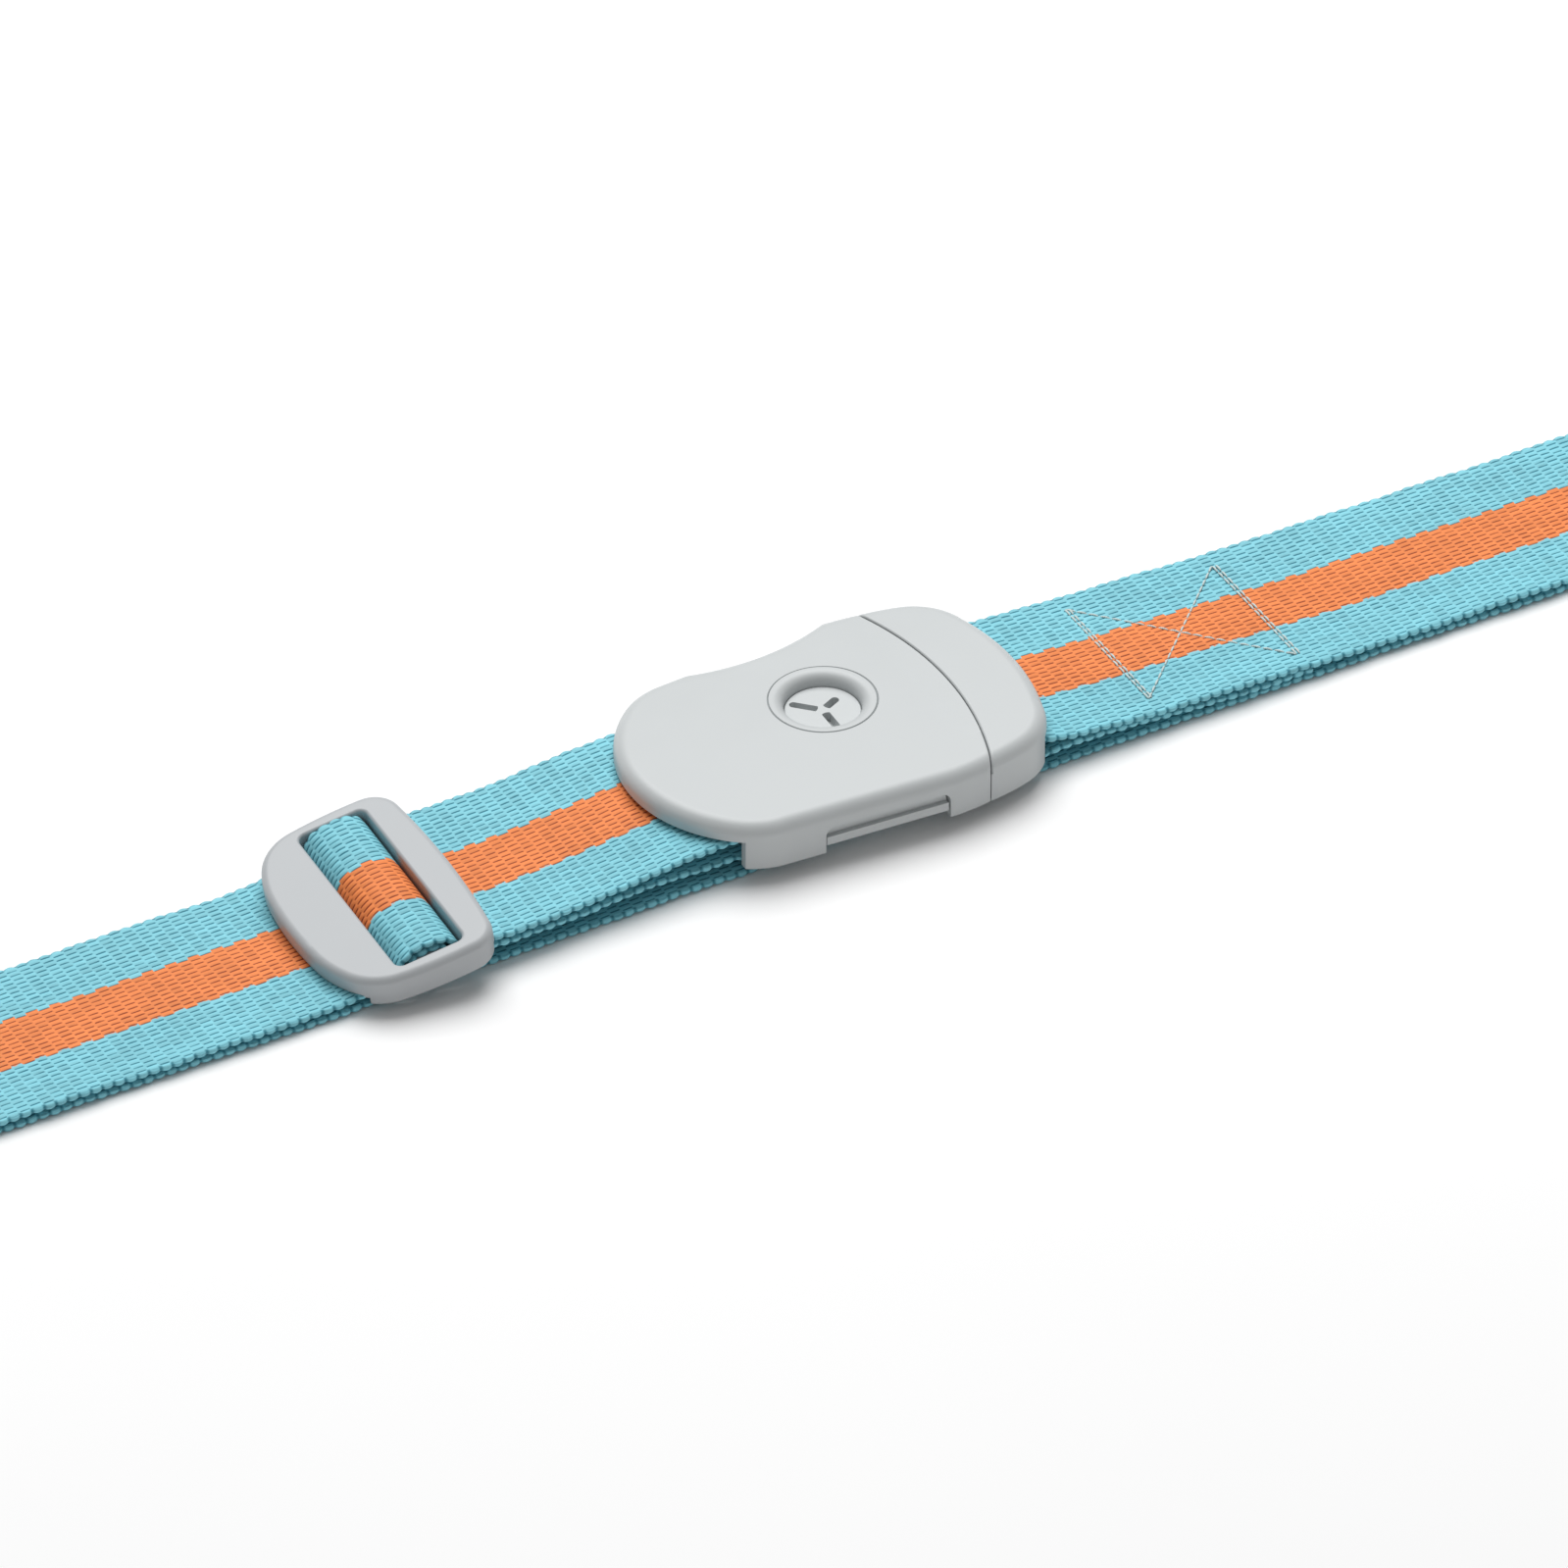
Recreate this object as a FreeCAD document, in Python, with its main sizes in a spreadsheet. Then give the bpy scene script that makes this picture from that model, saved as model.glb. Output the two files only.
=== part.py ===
"""Luggage strap with a lockable two-part buckle and a slide adjuster.

Frame: +X runs along the strap from the adjuster to the end cap, +Y across it,
+Z up. The origin is on the resting surface, on the strap's centre line, under
the axis of the lock plug. Millimetres.
"""
import FreeCAD, Part
import math
import os
import Sketcher

PARTS_FOLDER = "parts"
ROOT_TOLERANCE = 1e-6

# name: millimetres (or degrees where the name says so)
DIMENSIONS = {
    # webbing
    "web_width": 50.0,
    "web_thick": 1.4,
    "web_gap": 0.3,
    "left_centre": -3.4,
    "left_end": -233.0,
    "top_left_end": -136.6,
    "bottom_end": 226.0,
    "right_end": 222.5,
    "under_end": 113.0,
    "roll_radius": 22.0,
    "roll_core": 4.0,
    "roll_centre": 235.0,
    # buckle levels
    "skirt_low": 3.4,
    "parting": 11.0,
    "cover_top": 16.0,
    "crown_radius": 600.0,
    "edge_round": 3.4,
    "side_wall": 2.2,
    "floor_thick": 1.6,
    "ceiling": 13.4,
    # buckle outline
    "nose_x": -41.0,
    "nose_y": 26.0,
    "nose_radius": 34.2,
    "cheek_radius": 19.5,
    "cheek_x": -30.0,
    "cheek_y": 30.6,
    "hip_x": 14.0,
    "hip_y": 33.4,
    "flank_radius": 55.0,
    "seam_x": 22.8,
    "seam_y": 32.5,
    "seam_radius": 90.0,
    "seam_gap": 0.25,
    "shoulder_x": 33.0,
    "shoulder_y": 30.6,
    "corner_radius": 16.0,
    "tail_x": 44.6,
    "tail_y": 18.5,
    "tail_radius": 62.0,
    "case_left": -38.5,
    "case_left_y": 27.7,
    "scallop_x": -7.0,
    "scallop_y": 29.0,
    "scallop_radius": 55.0,
    "scallop_round": 5.0,
    # openings in the sides of the case
    "window_left": -19.5,
    "window_right": 12.0,
    "window_top": 10.3,
    "window_round": 2.4,
    "mouth_half": 25.8,
    # thumb recess beside the seam
    "thumb_x": 21.3,
    "thumb_low": -22.5,
    "thumb_high": 40.0,
    "thumb_depth": 0.5,
    "thumb_reach": 12.0,
    "thumb_round": 3.0,
    # lock
    "lock_y": 5.5,
    "plug_radius": 8.95,
    "plug_bore": 9.05,
    "plug_face": 12.8,
    "flange_radius": 11.4,
    "flange_low": 9.6,
    "flange_high": 10.7,
    "boss_radius": 12.3,
    "lock_lip": 2.6,
    "ring_radius": 12.65,
    "ring_half": 0.26,
    "ring_low": 15.35,
    "shaft_radius": 2.4,
    "shaft_neck": 1.7,
    "shaft_low": 6.6,
    "cam_low": 7.4,
    "cam_high": 9.2,
    "cam_half": 3.0,
    "cam_near": 29.6,
    "cam_far": 19.0,
    "clip_radius": 3.4,
    "clip_low": 6.85,
    "clip_high": 7.3,
    "slot_width": 2.0,
    "slot_depth": 2.4,
    "detent_y": -4.9,
    "ball_radius": 0.75,
    "detent_bore": 0.9,
    "spring_radius": 0.55,
    "spring_wire": 0.12,
    "spring_height": 1.05,
    "spring_pitch": 0.42,
    "spring_room": 2.75,
    # bars that hold the webbing
    "bar_radius": 1.8,
    "bar_hole": 1.85,
    "strap_bar_x": -35.5,
    "strap_bar_z": 7.3,
    "strap_bar_half": 27.4,
    "cap_bar_x": 36.0,
    "cap_bar_z": 6.9,
    "cap_bar_half": 27.3,
    # screws
    "screw_radius": 0.85,
    "screw_hole": 0.9,
    "screw_length": 6.7,
    "cap_screw_length": 9.0,
    "screw_head": 1.7,
    "head_height": 1.0,
    "head_hole": 1.85,
    "post_radius": 2.2,
    "post_low": 5.1,
    # tongue
    "block_left": 22.5,
    "block_right": 32.0,
    "block_low": 5.2,
    "block_high": 10.4,
    "block_half": 25.3,
    "tongue_left": -8.0,
    "tongue_half": 9.0,
    "tongue_high": 6.2,
    "arm_inner": 25.5,
    "arm_thick": 2.2,
    "arm_left": -19.2,
    "arm_root": 24.4,
    "arm_low": 5.2,
    "arm_high": 10.1,
    "pad_left": -19.1,
    "pad_right": 11.6,
    "pad_step": 7.4,
    "pad_out_left": 31.0,
    "pad_out_right": 32.9,
    "pad_recess": 1.1,
    # adjuster
    "slider_x": -119.2,
    "slider_y": -3.8,
    "slider_z": 7.1,
    "slider_yaw_deg": -2.0,
    "slider_pitch_deg": 8.8,
    "slider_roll_deg": 1.5,
    "slider_thick": 5.7,
    "slider_leg": 2.3,
    "slider_parting": 1.1,
    "slider_channel": 25.7,
    "slider_round": 1.9,
    "slider_under_round": 0.8,
    "window_half_u": 8.55,
    "window_half_v": 26.0,
    "window_corner": 2.0,
    "bridge_half": 3.4,
    "bridge_low": 0.4,
    "bridge_high": 3.6,
    # stitching
    "thread": 0.5,
    "stitch_left": 70.0,
    "stitch_right": 109.0,
    "stitch_half": 19.0,
}

doc = FreeCAD.newDocument("luggage_strap")
sheet = doc.addObject("Spreadsheet::Sheet", "dims")
for row, (alias, value) in enumerate(DIMENSIONS.items(), start=1):
    sheet.set(f"A{row}", alias)
    sheet.set(f"B{row}", str(value))
    sheet.setAlias(f"B{row}", alias)
doc.recompute()


def number(expression):
    """The value of an expression in the sheet's names, as a plain number."""
    value = sheet.evalExpression(expression)
    return float(getattr(value, "Value", value))


def named(words):
    """Write dims. before each sheet name in an expression."""
    out = []
    for token in words.replace("(", " ( ").replace(")", " ) ").split():
        sign = "-" if token.startswith("-") and len(token) > 1 else ""
        word = token[len(sign):]
        out.append(f"{sign}dims.{word}" if word in DIMENSIONS else token)
    return " ".join(out)


def size(words):
    """A length from words such as 'web_width / 2 + web_gap'."""
    return number(named(words))


def new_body(label):
    """A PartDesign body whose label names the sub-part."""
    body = doc.addObject("PartDesign::Body", label)
    body.Label = label
    return body


def new_sketch(body, plane, offset="0"):
    """A sketch on one of the body's own origin planes, moved along its normal."""
    sketch = body.newObject("Sketcher::SketchObject", f"{body.Label}_sketch")
    support = [item for item in body.Origin.OriginFeatures if item.Role == plane][0]
    sketch.AttachmentSupport = [(support, "")]
    sketch.MapMode = "FlatFace"
    sketch.setExpression("AttachmentOffset.Base.z", f"({named(offset)}) * 1 mm")
    return sketch


def bind(sketch, kind, members, expression):
    """Add a driving constraint and bind it to the sheet."""
    value = size(expression)
    index = sketch.addConstraint(Sketcher.Constraint(kind, *members, value))
    sketch.setExpression(f"Constraints[{index}]", named(expression))


def place_point(sketch, edge, end, x_words, y_words):
    """Fix an end of an edge at a place given in sheet words."""
    for kind, words in (("DistanceX", x_words), ("DistanceY", y_words)):
        bind(sketch, kind, (-1, 1, edge, end), words)


def arc_between(start, end, radius):
    """The arc from start to end, bulging left for a negative radius, else right."""
    chord = end - start
    half = chord.Length / 2
    rise = abs(radius) - math.sqrt(radius ** 2 - half ** 2)
    side = FreeCAD.Vector(chord.y, -chord.x, 0).normalize()
    middle = start + chord * 0.5 + side * math.copysign(rise, radius)
    return Part.Arc(start, middle, end)


def outline(sketch, corners):
    """A closed profile from (x words, y words, radius words of the edge that follows).

    No radius gives a straight edge. A leading minus turns the bulge inwards, for
    a profile that runs anticlockwise.
    """
    points = [FreeCAD.Vector(size(x), size(y), 0) for x, y, _ in corners]
    first = sketch.GeometryCount
    for index, (_, _, radius) in enumerate(corners):
        start, end = points[index], points[(index + 1) % len(points)]
        if radius:
            sketch.addGeometry(arc_between(start, end, size(radius)), False)
        else:
            sketch.addGeometry(Part.LineSegment(start, end), False)
    ends = []
    for index, (_, _, radius) in enumerate(corners):
        clockwise = bool(radius) and radius.startswith("-")
        ends.append((2, 1) if clockwise else (1, 2))
    count = len(corners)
    for index, (x_words, y_words, radius) in enumerate(corners):
        after = (index + 1) % count
        sketch.addConstraint(Sketcher.Constraint(
            "Coincident", first + index, ends[index][1], first + after, ends[after][0]))
        place_point(sketch, first + index, ends[index][0], x_words, y_words)
        if radius:
            bind(sketch, "Radius", (first + index,), radius.lstrip("-"))


def rectangle(sketch, left, right, low, high):
    """An upright rectangle given by its four sides in sheet words."""
    outline(sketch, [(left, low, ""), (right, low, ""), (right, high, ""), (left, high, "")])


def circle(sketch, x_words, y_words, radius):
    """A full circle."""
    centre = FreeCAD.Vector(size(x_words), size(y_words), 0)
    index = sketch.addGeometry(Part.Circle(centre, FreeCAD.Vector(0, 0, 1), size(radius)), False)
    place_point(sketch, index, 3, x_words, y_words)
    bind(sketch, "Radius", (index,), radius)


def settle(body, made):
    """Make a feature the body's result and stop if it came out broken."""
    body.Tip = made
    doc.recompute()
    if "Invalid" in made.State or made.Shape.isNull() or not made.Shape.isValid():
        raise RuntimeError(f"{body.Label}: {made.Name} failed, {made.State}")
    return made


def feature(body, kind, sketch, length="", middle=False, reverse=False, through=False):
    """A Pad or Pocket of a sketch, with its length bound to the sheet."""
    before = body.Tip.Shape.Volume if kind == "Pocket" else 0
    made = body.newObject(f"PartDesign::{kind}", f"{body.Label}_{kind}")
    made.Profile = sketch
    made.Reversed = reverse
    made.Midplane = middle
    if through:
        made.Type = 1
    else:
        made.setExpression("Length", named(length))
    settle(body, made)
    if kind == "Pocket" and made.Shape.Volume > before - ROOT_TOLERANCE:
        raise RuntimeError(f"{body.Label}: a pocket removed nothing")
    return made


def turned(body, kind, sketch):
    """A full turn of a sketch about its own upright axis: Revolution or Groove."""
    before = body.Tip.Shape.Volume if kind == "Groove" else 0
    made = body.newObject(f"PartDesign::{kind}", f"{body.Label}_{kind}")
    made.Profile = sketch
    made.ReferenceAxis = (sketch, ["V_Axis"])
    made.Angle = 360
    settle(body, made)
    if kind == "Groove" and made.Shape.Volume > before - ROOT_TOLERANCE:
        raise RuntimeError(f"{body.Label}: a groove removed nothing")
    return made


def rounded(body, radius, keep):
    """Fillet the edges of the body's last feature for which keep(edge) is true."""
    base = body.Tip
    names = [f"Edge{i}" for i, edge in enumerate(base.Shape.Edges, start=1) if keep(edge)]
    if not names:
        raise RuntimeError(f"{body.Label}: no edge to round")
    made = body.newObject("PartDesign::Fillet", f"{body.Label}_Fillet")
    made.Base = (base, names)
    made.setExpression("Radius", named(radius))
    return settle(body, made)


def box(edge):
    """The bounding box of an edge."""
    return edge.BoundBox


def upright(edge):
    """True for a straight vertical edge."""
    bounds = box(edge)
    return bounds.ZLength > 0.5 and bounds.XLength < 0.01 and bounds.YLength < 0.01


def crosswise(edge, level):
    """True for a straight level edge across the strap at a height in sheet words."""
    bounds = box(edge)
    straight = bounds.XLength < 0.01 and bounds.ZLength < 0.01 and bounds.YLength > 0.5
    return straight and abs(bounds.ZMin - size(level)) < 0.01


# ---------------------------------------------------------------- buckle shells
COVER_PROFILE = [
    ("seam_x", "-seam_y", "seam_radius"),
    ("seam_x", "seam_y", "flank_radius"),
    ("hip_x", "hip_y", ""),
    ("cheek_x", "cheek_y", "cheek_radius"),
    ("nose_x", "nose_y", "nose_radius"),
    ("nose_x", "-nose_y", "cheek_radius"),
    ("cheek_x", "-cheek_y", ""),
    ("hip_x", "-hip_y", "flank_radius"),
]
CASE_PROFILE = [
    ("seam_x", "-seam_y", "seam_radius"),
    ("seam_x", "seam_y", "flank_radius"),
    ("hip_x", "hip_y", ""),
    ("cheek_x", "cheek_y", "cheek_radius"),
    ("case_left", "case_left_y", ""),
    ("case_left", "-case_left_y", "cheek_radius"),
    ("cheek_x", "-cheek_y", ""),
    ("hip_x", "-hip_y", "flank_radius"),
]
CAP_PROFILE = [
    ("seam_x + seam_gap", "seam_y", "-seam_radius"),
    ("seam_x + seam_gap", "-seam_y", "flank_radius"),
    ("shoulder_x", "-shoulder_y", "corner_radius"),
    ("tail_x", "-tail_y", "tail_radius"),
    ("tail_x", "tail_y", "corner_radius"),
    ("shoulder_x", "shoulder_y", "flank_radius"),
]
SCREW_PLACES = [(-25.0, 18.0), (-25.5, -17.5), (18.5, 17.5), (18.5, -15.0)]
CAP_SCREW_PLACES = [(29.0, 22.0), (29.0, -22.0)]
CROWN_HALF = 40.0


def above_crown(sketch, drop, left, right):
    """Closed profile over the crown's arc lowered by drop, between two places across."""
    radius = size("crown_radius") - drop
    centre = FreeCAD.Vector(0, size("cover_top - crown_radius"), 0)
    lid = size("cover_top") + 4
    start, end = [FreeCAD.Vector(y, centre.y + math.sqrt(radius ** 2 - y ** 2), 0)
                  for y in (right, left)]
    arc = Part.Arc(start, centre + FreeCAD.Vector(0, radius, 0), end)
    sketch.addGeometry(arc, False)
    sketch.addGeometry(Part.LineSegment(end, FreeCAD.Vector(left, lid, 0)), False)
    sketch.addGeometry(Part.LineSegment(FreeCAD.Vector(left, lid, 0),
                                        FreeCAD.Vector(right, lid, 0)), False)
    sketch.addGeometry(Part.LineSegment(FreeCAD.Vector(right, lid, 0), start), False)


def shave_crown(body):
    """Cut everything above the crown's arc."""
    sketch = new_sketch(body, "YZ_Plane")
    above_crown(sketch, 0, -CROWN_HALF, CROWN_HALF)
    return feature(body, "Pocket", sketch, through=True, middle=True)


def top_edge(edge):
    """True for an edge of the crowned top face's rim."""
    return box(edge).ZMin > size("cover_top") - 1.2


def make_top_cover():
    """Upper shell of the housing: crowned lid with a lip over the webbing."""
    body = new_body("top_cover")
    sketch = new_sketch(body, "XY_Plane", "parting")
    outline(sketch, COVER_PROFILE)
    feature(body, "Pad", sketch, "cover_top - parting")
    scallop = new_sketch(body, "XY_Plane", "parting")
    circle(scallop, "scallop_x", "scallop_y + scallop_radius", "scallop_radius")
    feature(body, "Pocket", scallop, "cover_top", reverse=True)
    rounded(body, "scallop_round", lambda edge: upright(edge) and (
        box(edge).YMin > 28 and box(edge).XMax < size("hip_x") - 1
        and box(edge).XMin > size("cheek_x") + 1))
    shave_crown(body)
    rounded(body, "edge_round", lambda edge: top_edge(edge) and not on_seam(edge))
    rounded(body, "thread", lambda edge: top_edge(edge) and on_seam(edge))
    cavity = new_sketch(body, "XY_Plane", "parting")
    rectangle(cavity, "cheek_x", "seam_x - side_wall", "side_wall - scallop_y",
              "scallop_y - side_wall")
    feature(body, "Pocket", cavity, "ceiling - parting", reverse=True)
    boss = new_sketch(body, "XY_Plane", "parting")
    circle(boss, "0", "lock_y", "boss_radius")
    feature(body, "Pad", boss, "ceiling - parting + 0.2")
    posts = new_sketch(body, "XY_Plane", "post_low")
    for x, y in SCREW_PLACES:
        circle(posts, str(x), str(y), "post_radius")
    feature(body, "Pad", posts, "ceiling - post_low + 0.2")
    holes = new_sketch(body, "XY_Plane", "post_low")
    for x, y in SCREW_PLACES:
        circle(holes, str(x), str(y), "screw_hole")
    feature(body, "Pocket", holes, "screw_length + 0.3", reverse=True)
    bore = new_sketch(body, "XY_Plane", "parting")
    circle(bore, "0", "lock_y", "plug_bore")
    feature(body, "Pocket", bore, "cover_top", reverse=True)
    rounded(body, "lock_lip", bore_rim)
    ring = new_sketch(body, "XZ_Plane", "-lock_y")
    outline(ring, [
        ("ring_radius", "ring_low", ""),
        ("ring_radius + ring_half", "cover_top", ""),
        ("ring_radius - ring_half", "cover_top", ""),
    ])
    turned(body, "Groove", ring)
    detent = new_sketch(body, "XY_Plane", "parting")
    circle(detent, "0", "detent_y", "detent_bore")
    feature(body, "Pocket", detent, "spring_room", reverse=True)
    thumb = new_sketch(body, "YZ_Plane", "thumb_x")
    above_crown(thumb, size("thumb_depth"), size("thumb_low"), size("thumb_high"))
    feature(body, "Pocket", thumb, "thumb_reach", reverse=True)
    rounded(body, "thumb_round", lambda edge: upright(edge) and (
        abs(box(edge).XMin - size("thumb_x")) < 0.05 and box(edge).YMin < 0))
    return body


def bore_rim(edge):
    """True for the upper rim of the lock's bore."""
    bounds = box(edge)
    round_enough = bounds.YLength < size("plug_bore * 2.1") and bounds.XLength > size("plug_bore")
    return round_enough and bounds.ZMin > size("cover_top") - 0.6


def on_seam(edge):
    """True for an edge that lies along the seam between housing and end cap."""
    bounds = box(edge)
    return bounds.XMin > size("seam_x") - 0.6 and bounds.YLength > 20


def make_lower_case():
    """Lower shell of the housing: side skirts, floor and the two side windows."""
    body = new_body("lower_case")
    sketch = new_sketch(body, "XY_Plane", "skirt_low")
    outline(sketch, CASE_PROFILE)
    feature(body, "Pad", sketch, "parting - skirt_low")
    scallop = new_sketch(body, "XY_Plane", "skirt_low")
    circle(scallop, "scallop_x", "scallop_y + scallop_radius", "scallop_radius")
    feature(body, "Pocket", scallop, "parting", reverse=True)
    rounded(body, "scallop_round", lambda edge: upright(edge) and (
        box(edge).YMin > 28 and box(edge).XMax < size("hip_x") - 1
        and box(edge).XMin > size("cheek_x") + 1))
    inside = new_sketch(body, "XY_Plane", "skirt_low + floor_thick")
    rectangle(inside, "cheek_x", "seam_x + 10", "side_wall - cheek_y", "cheek_y - side_wall")
    feature(body, "Pocket", inside, "parting", reverse=True)
    throat = new_sketch(body, "XY_Plane", "skirt_low")
    rectangle(throat, "case_left - 5", "cheek_x + 1", "-mouth_half", "mouth_half")
    feature(body, "Pocket", throat, "parting", reverse=True)
    for low, high in (("-hip_y - 4", "-arm_inner"), ("arm_inner", "hip_y + 4")):
        window = new_sketch(body, "XY_Plane", "skirt_low - 1")
        rectangle(window, "window_left", "window_right", low, high)
        feature(body, "Pocket", window, "window_top - skirt_low + 1", reverse=True)
    rounded(body, "window_round", lambda edge: crosswise(edge, "window_top"))
    holes = new_sketch(body, "XZ_Plane")
    circle(holes, "strap_bar_x", "strap_bar_z", "bar_hole")
    feature(body, "Pocket", holes, "strap_bar_half * 2 + 0.4", middle=True)
    screws = new_sketch(body, "XY_Plane", "skirt_low")
    for x, y in SCREW_PLACES:
        circle(screws, str(x), str(y), "screw_hole")
    feature(body, "Pocket", screws, "floor_thick + 1", reverse=True)
    heads = new_sketch(body, "XY_Plane", "skirt_low")
    for x, y in SCREW_PLACES:
        circle(heads, str(x), str(y), "head_hole")
    feature(body, "Pocket", heads, "head_height + 0.05", reverse=True)
    return body


def cap_screw_holes(body, level, radius, depth):
    """Blind holes for the end cap's screws, upwards from a level."""
    holes = new_sketch(body, "XY_Plane", level)
    for x, y in CAP_SCREW_PLACES:
        circle(holes, str(x), str(y), radius)
    feature(body, "Pocket", holes, depth, reverse=True)


def make_cap_upper():
    """Upper shell of the end cap."""
    body = new_body("cap_upper")
    sketch = new_sketch(body, "XY_Plane", "parting")
    outline(sketch, CAP_PROFILE)
    feature(body, "Pad", sketch, "cover_top - parting")
    shave_crown(body)
    rounded(body, "edge_round", lambda edge: top_edge(edge) and not cap_seam(edge))
    rounded(body, "thread", lambda edge: top_edge(edge) and cap_seam(edge))
    cap_screw_holes(body, "parting", "screw_hole", "2.2")
    return body


def cap_seam(edge):
    """True for the end cap's edge along the seam."""
    bounds = box(edge)
    return bounds.XMax < size("seam_x") + 7 and bounds.YLength > 20


def make_cap_lower():
    """Lower shell of the end cap, open towards the housing and over the webbing."""
    body = new_body("cap_lower")
    sketch = new_sketch(body, "XY_Plane", "skirt_low")
    outline(sketch, CAP_PROFILE)
    feature(body, "Pad", sketch, "parting - skirt_low")
    inside = new_sketch(body, "XY_Plane", "skirt_low + floor_thick")
    rectangle(inside, "seam_x - 2", "tail_x + 8", "-mouth_half", "mouth_half")
    feature(body, "Pocket", inside, "parting", reverse=True)
    mouth = new_sketch(body, "XY_Plane", "skirt_low")
    rectangle(mouth, "block_right + 0.3", "tail_x + 8", "-mouth_half", "mouth_half")
    feature(body, "Pocket", mouth, "parting", reverse=True)
    holes = new_sketch(body, "XZ_Plane")
    circle(holes, "cap_bar_x", "cap_bar_z", "bar_hole")
    feature(body, "Pocket", holes, "cap_bar_half * 2 + 0.4", middle=True)
    cap_screw_holes(body, "skirt_low", "screw_hole", "floor_thick + 1")
    cap_screw_holes(body, "skirt_low", "head_hole", "head_height + 0.05")
    return body


def make_bar(label, x_name, z_name, half_name):
    """A steel pin across the strap, with small rounded ends."""
    pin = doc.addObject("Part::Cylinder", f"{label}_pin")
    pin.setExpression("Radius", "dims.bar_radius")
    pin.setExpression("Height", f"dims.{half_name} * 2")
    eased = doc.addObject("Part::Fillet", label)
    eased.Base = pin
    doc.recompute()
    round_ends = [i for i, edge in enumerate(pin.Shape.Edges, start=1) if edge.Curve.TypeId
                  == "Part::GeomCircle"]
    eased.Edges = [(i, 0.3, 0.3) for i in round_ends]
    eased.Label = label
    eased.Placement = FreeCAD.Placement(
        FreeCAD.Vector(size(x_name), size(half_name), size(z_name)),
        FreeCAD.Rotation(FreeCAD.Vector(1, 0, 0), 90))
    return eased


def make_screws(label, places, length):
    """Countersunk-seat screws as one group of separate solids."""
    solids = []
    for index, (x, y) in enumerate(places):
        shank = doc.addObject("Part::Cylinder", f"{label}_shank{index}")
        shank.setExpression("Radius", "dims.screw_radius")
        shank.setExpression("Height", named(length))
        head = doc.addObject("Part::Cylinder", f"{label}_head{index}")
        head.setExpression("Radius", "dims.screw_head")
        head.setExpression("Height", "dims.head_height")
        drive = doc.addObject("Part::Box", f"{label}_drive{index}")
        drive.setExpression("Length", "dims.screw_head * 1.3")
        drive.setExpression("Width", "dims.thread * 0.8")
        drive.setExpression("Height", "dims.thread")
        cross = doc.addObject("Part::Box", f"{label}_cross{index}")
        cross.setExpression("Length", "dims.thread * 0.8")
        cross.setExpression("Width", "dims.screw_head * 1.3")
        cross.setExpression("Height", "dims.thread")
        low = size("skirt_low")
        shank.Placement.Base = FreeCAD.Vector(x, y, low)
        head.Placement.Base = FreeCAD.Vector(x, y, low)
        reach = size("screw_head") * 0.65
        slim = size("thread") * 0.4
        drive.Placement.Base = FreeCAD.Vector(x - reach, y - slim, low - 0.05)
        cross.Placement.Base = FreeCAD.Vector(x - slim, y - reach, low - 0.05)
        screw = doc.addObject("Part::MultiFuse", f"{label}_body{index}")
        screw.Shapes = [shank, head]
        tool = doc.addObject("Part::MultiFuse", f"{label}_tool{index}")
        tool.Shapes = [drive, cross]
        cut = doc.addObject("Part::Cut", f"{label}_cut{index}")
        cut.Base, cut.Tool = screw, tool
        solids.append(cut)
    doc.recompute()
    group = doc.addObject("Part::Compound", label)
    group.Links = solids
    group.Label = label
    return group


# ------------------------------------------------------------------------- lock
SLOTS = [(135.0, 8.0), (25.0, 5.7), (268.0, 7.6)]
SLOT_START = 1.5


def make_lock_plug():
    """Turning plug: faced disc with three key slots, flange and stepped shaft."""
    body = new_body("lock_plug")
    profile = new_sketch(body, "XZ_Plane")
    outline(profile, [
        ("0", "shaft_low", ""),
        ("shaft_radius - 0.3", "shaft_low", ""),
        ("shaft_radius - 0.3", "clip_low - 0.05", ""),
        ("shaft_neck", "clip_low - 0.05", ""),
        ("shaft_neck", "clip_high + 0.05", ""),
        ("shaft_radius", "clip_high + 0.05", ""),
        ("shaft_radius", "flange_low", ""),
        ("flange_radius", "flange_low", ""),
        ("flange_radius", "flange_high", ""),
        ("plug_radius", "flange_high", ""),
        ("plug_radius", "plug_face - 0.3", ""),
        ("plug_radius - 0.3", "plug_face", ""),
        ("0", "plug_face", ""),
    ])
    turned(body, "Revolution", profile)
    for angle, reach in SLOTS:
        slot = new_sketch(body, "XY_Plane", "plug_face - slot_depth")
        along = FreeCAD.Vector(math.cos(math.radians(angle)), math.sin(math.radians(angle)), 0)
        across = FreeCAD.Vector(-along.y, along.x, 0) * (size("slot_width") / 2)
        inner, outer = along * SLOT_START, along * (reach - size("slot_width") / 2)
        tip = along * reach
        heel = along * (SLOT_START - size("slot_width") * 0.15)
        for shape in (
            Part.LineSegment(inner - across, outer - across),
            Part.Arc(outer - across, tip, outer + across),
            Part.LineSegment(outer + across, inner + across),
            Part.Arc(inner + across, heel, inner - across),
        ):
            slot.addGeometry(shape, False)
        feature(body, "Pocket", slot, "slot_depth + 1", reverse=True)
    body.setExpression("Placement.Base.y", "dims.lock_y")
    return body


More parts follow.
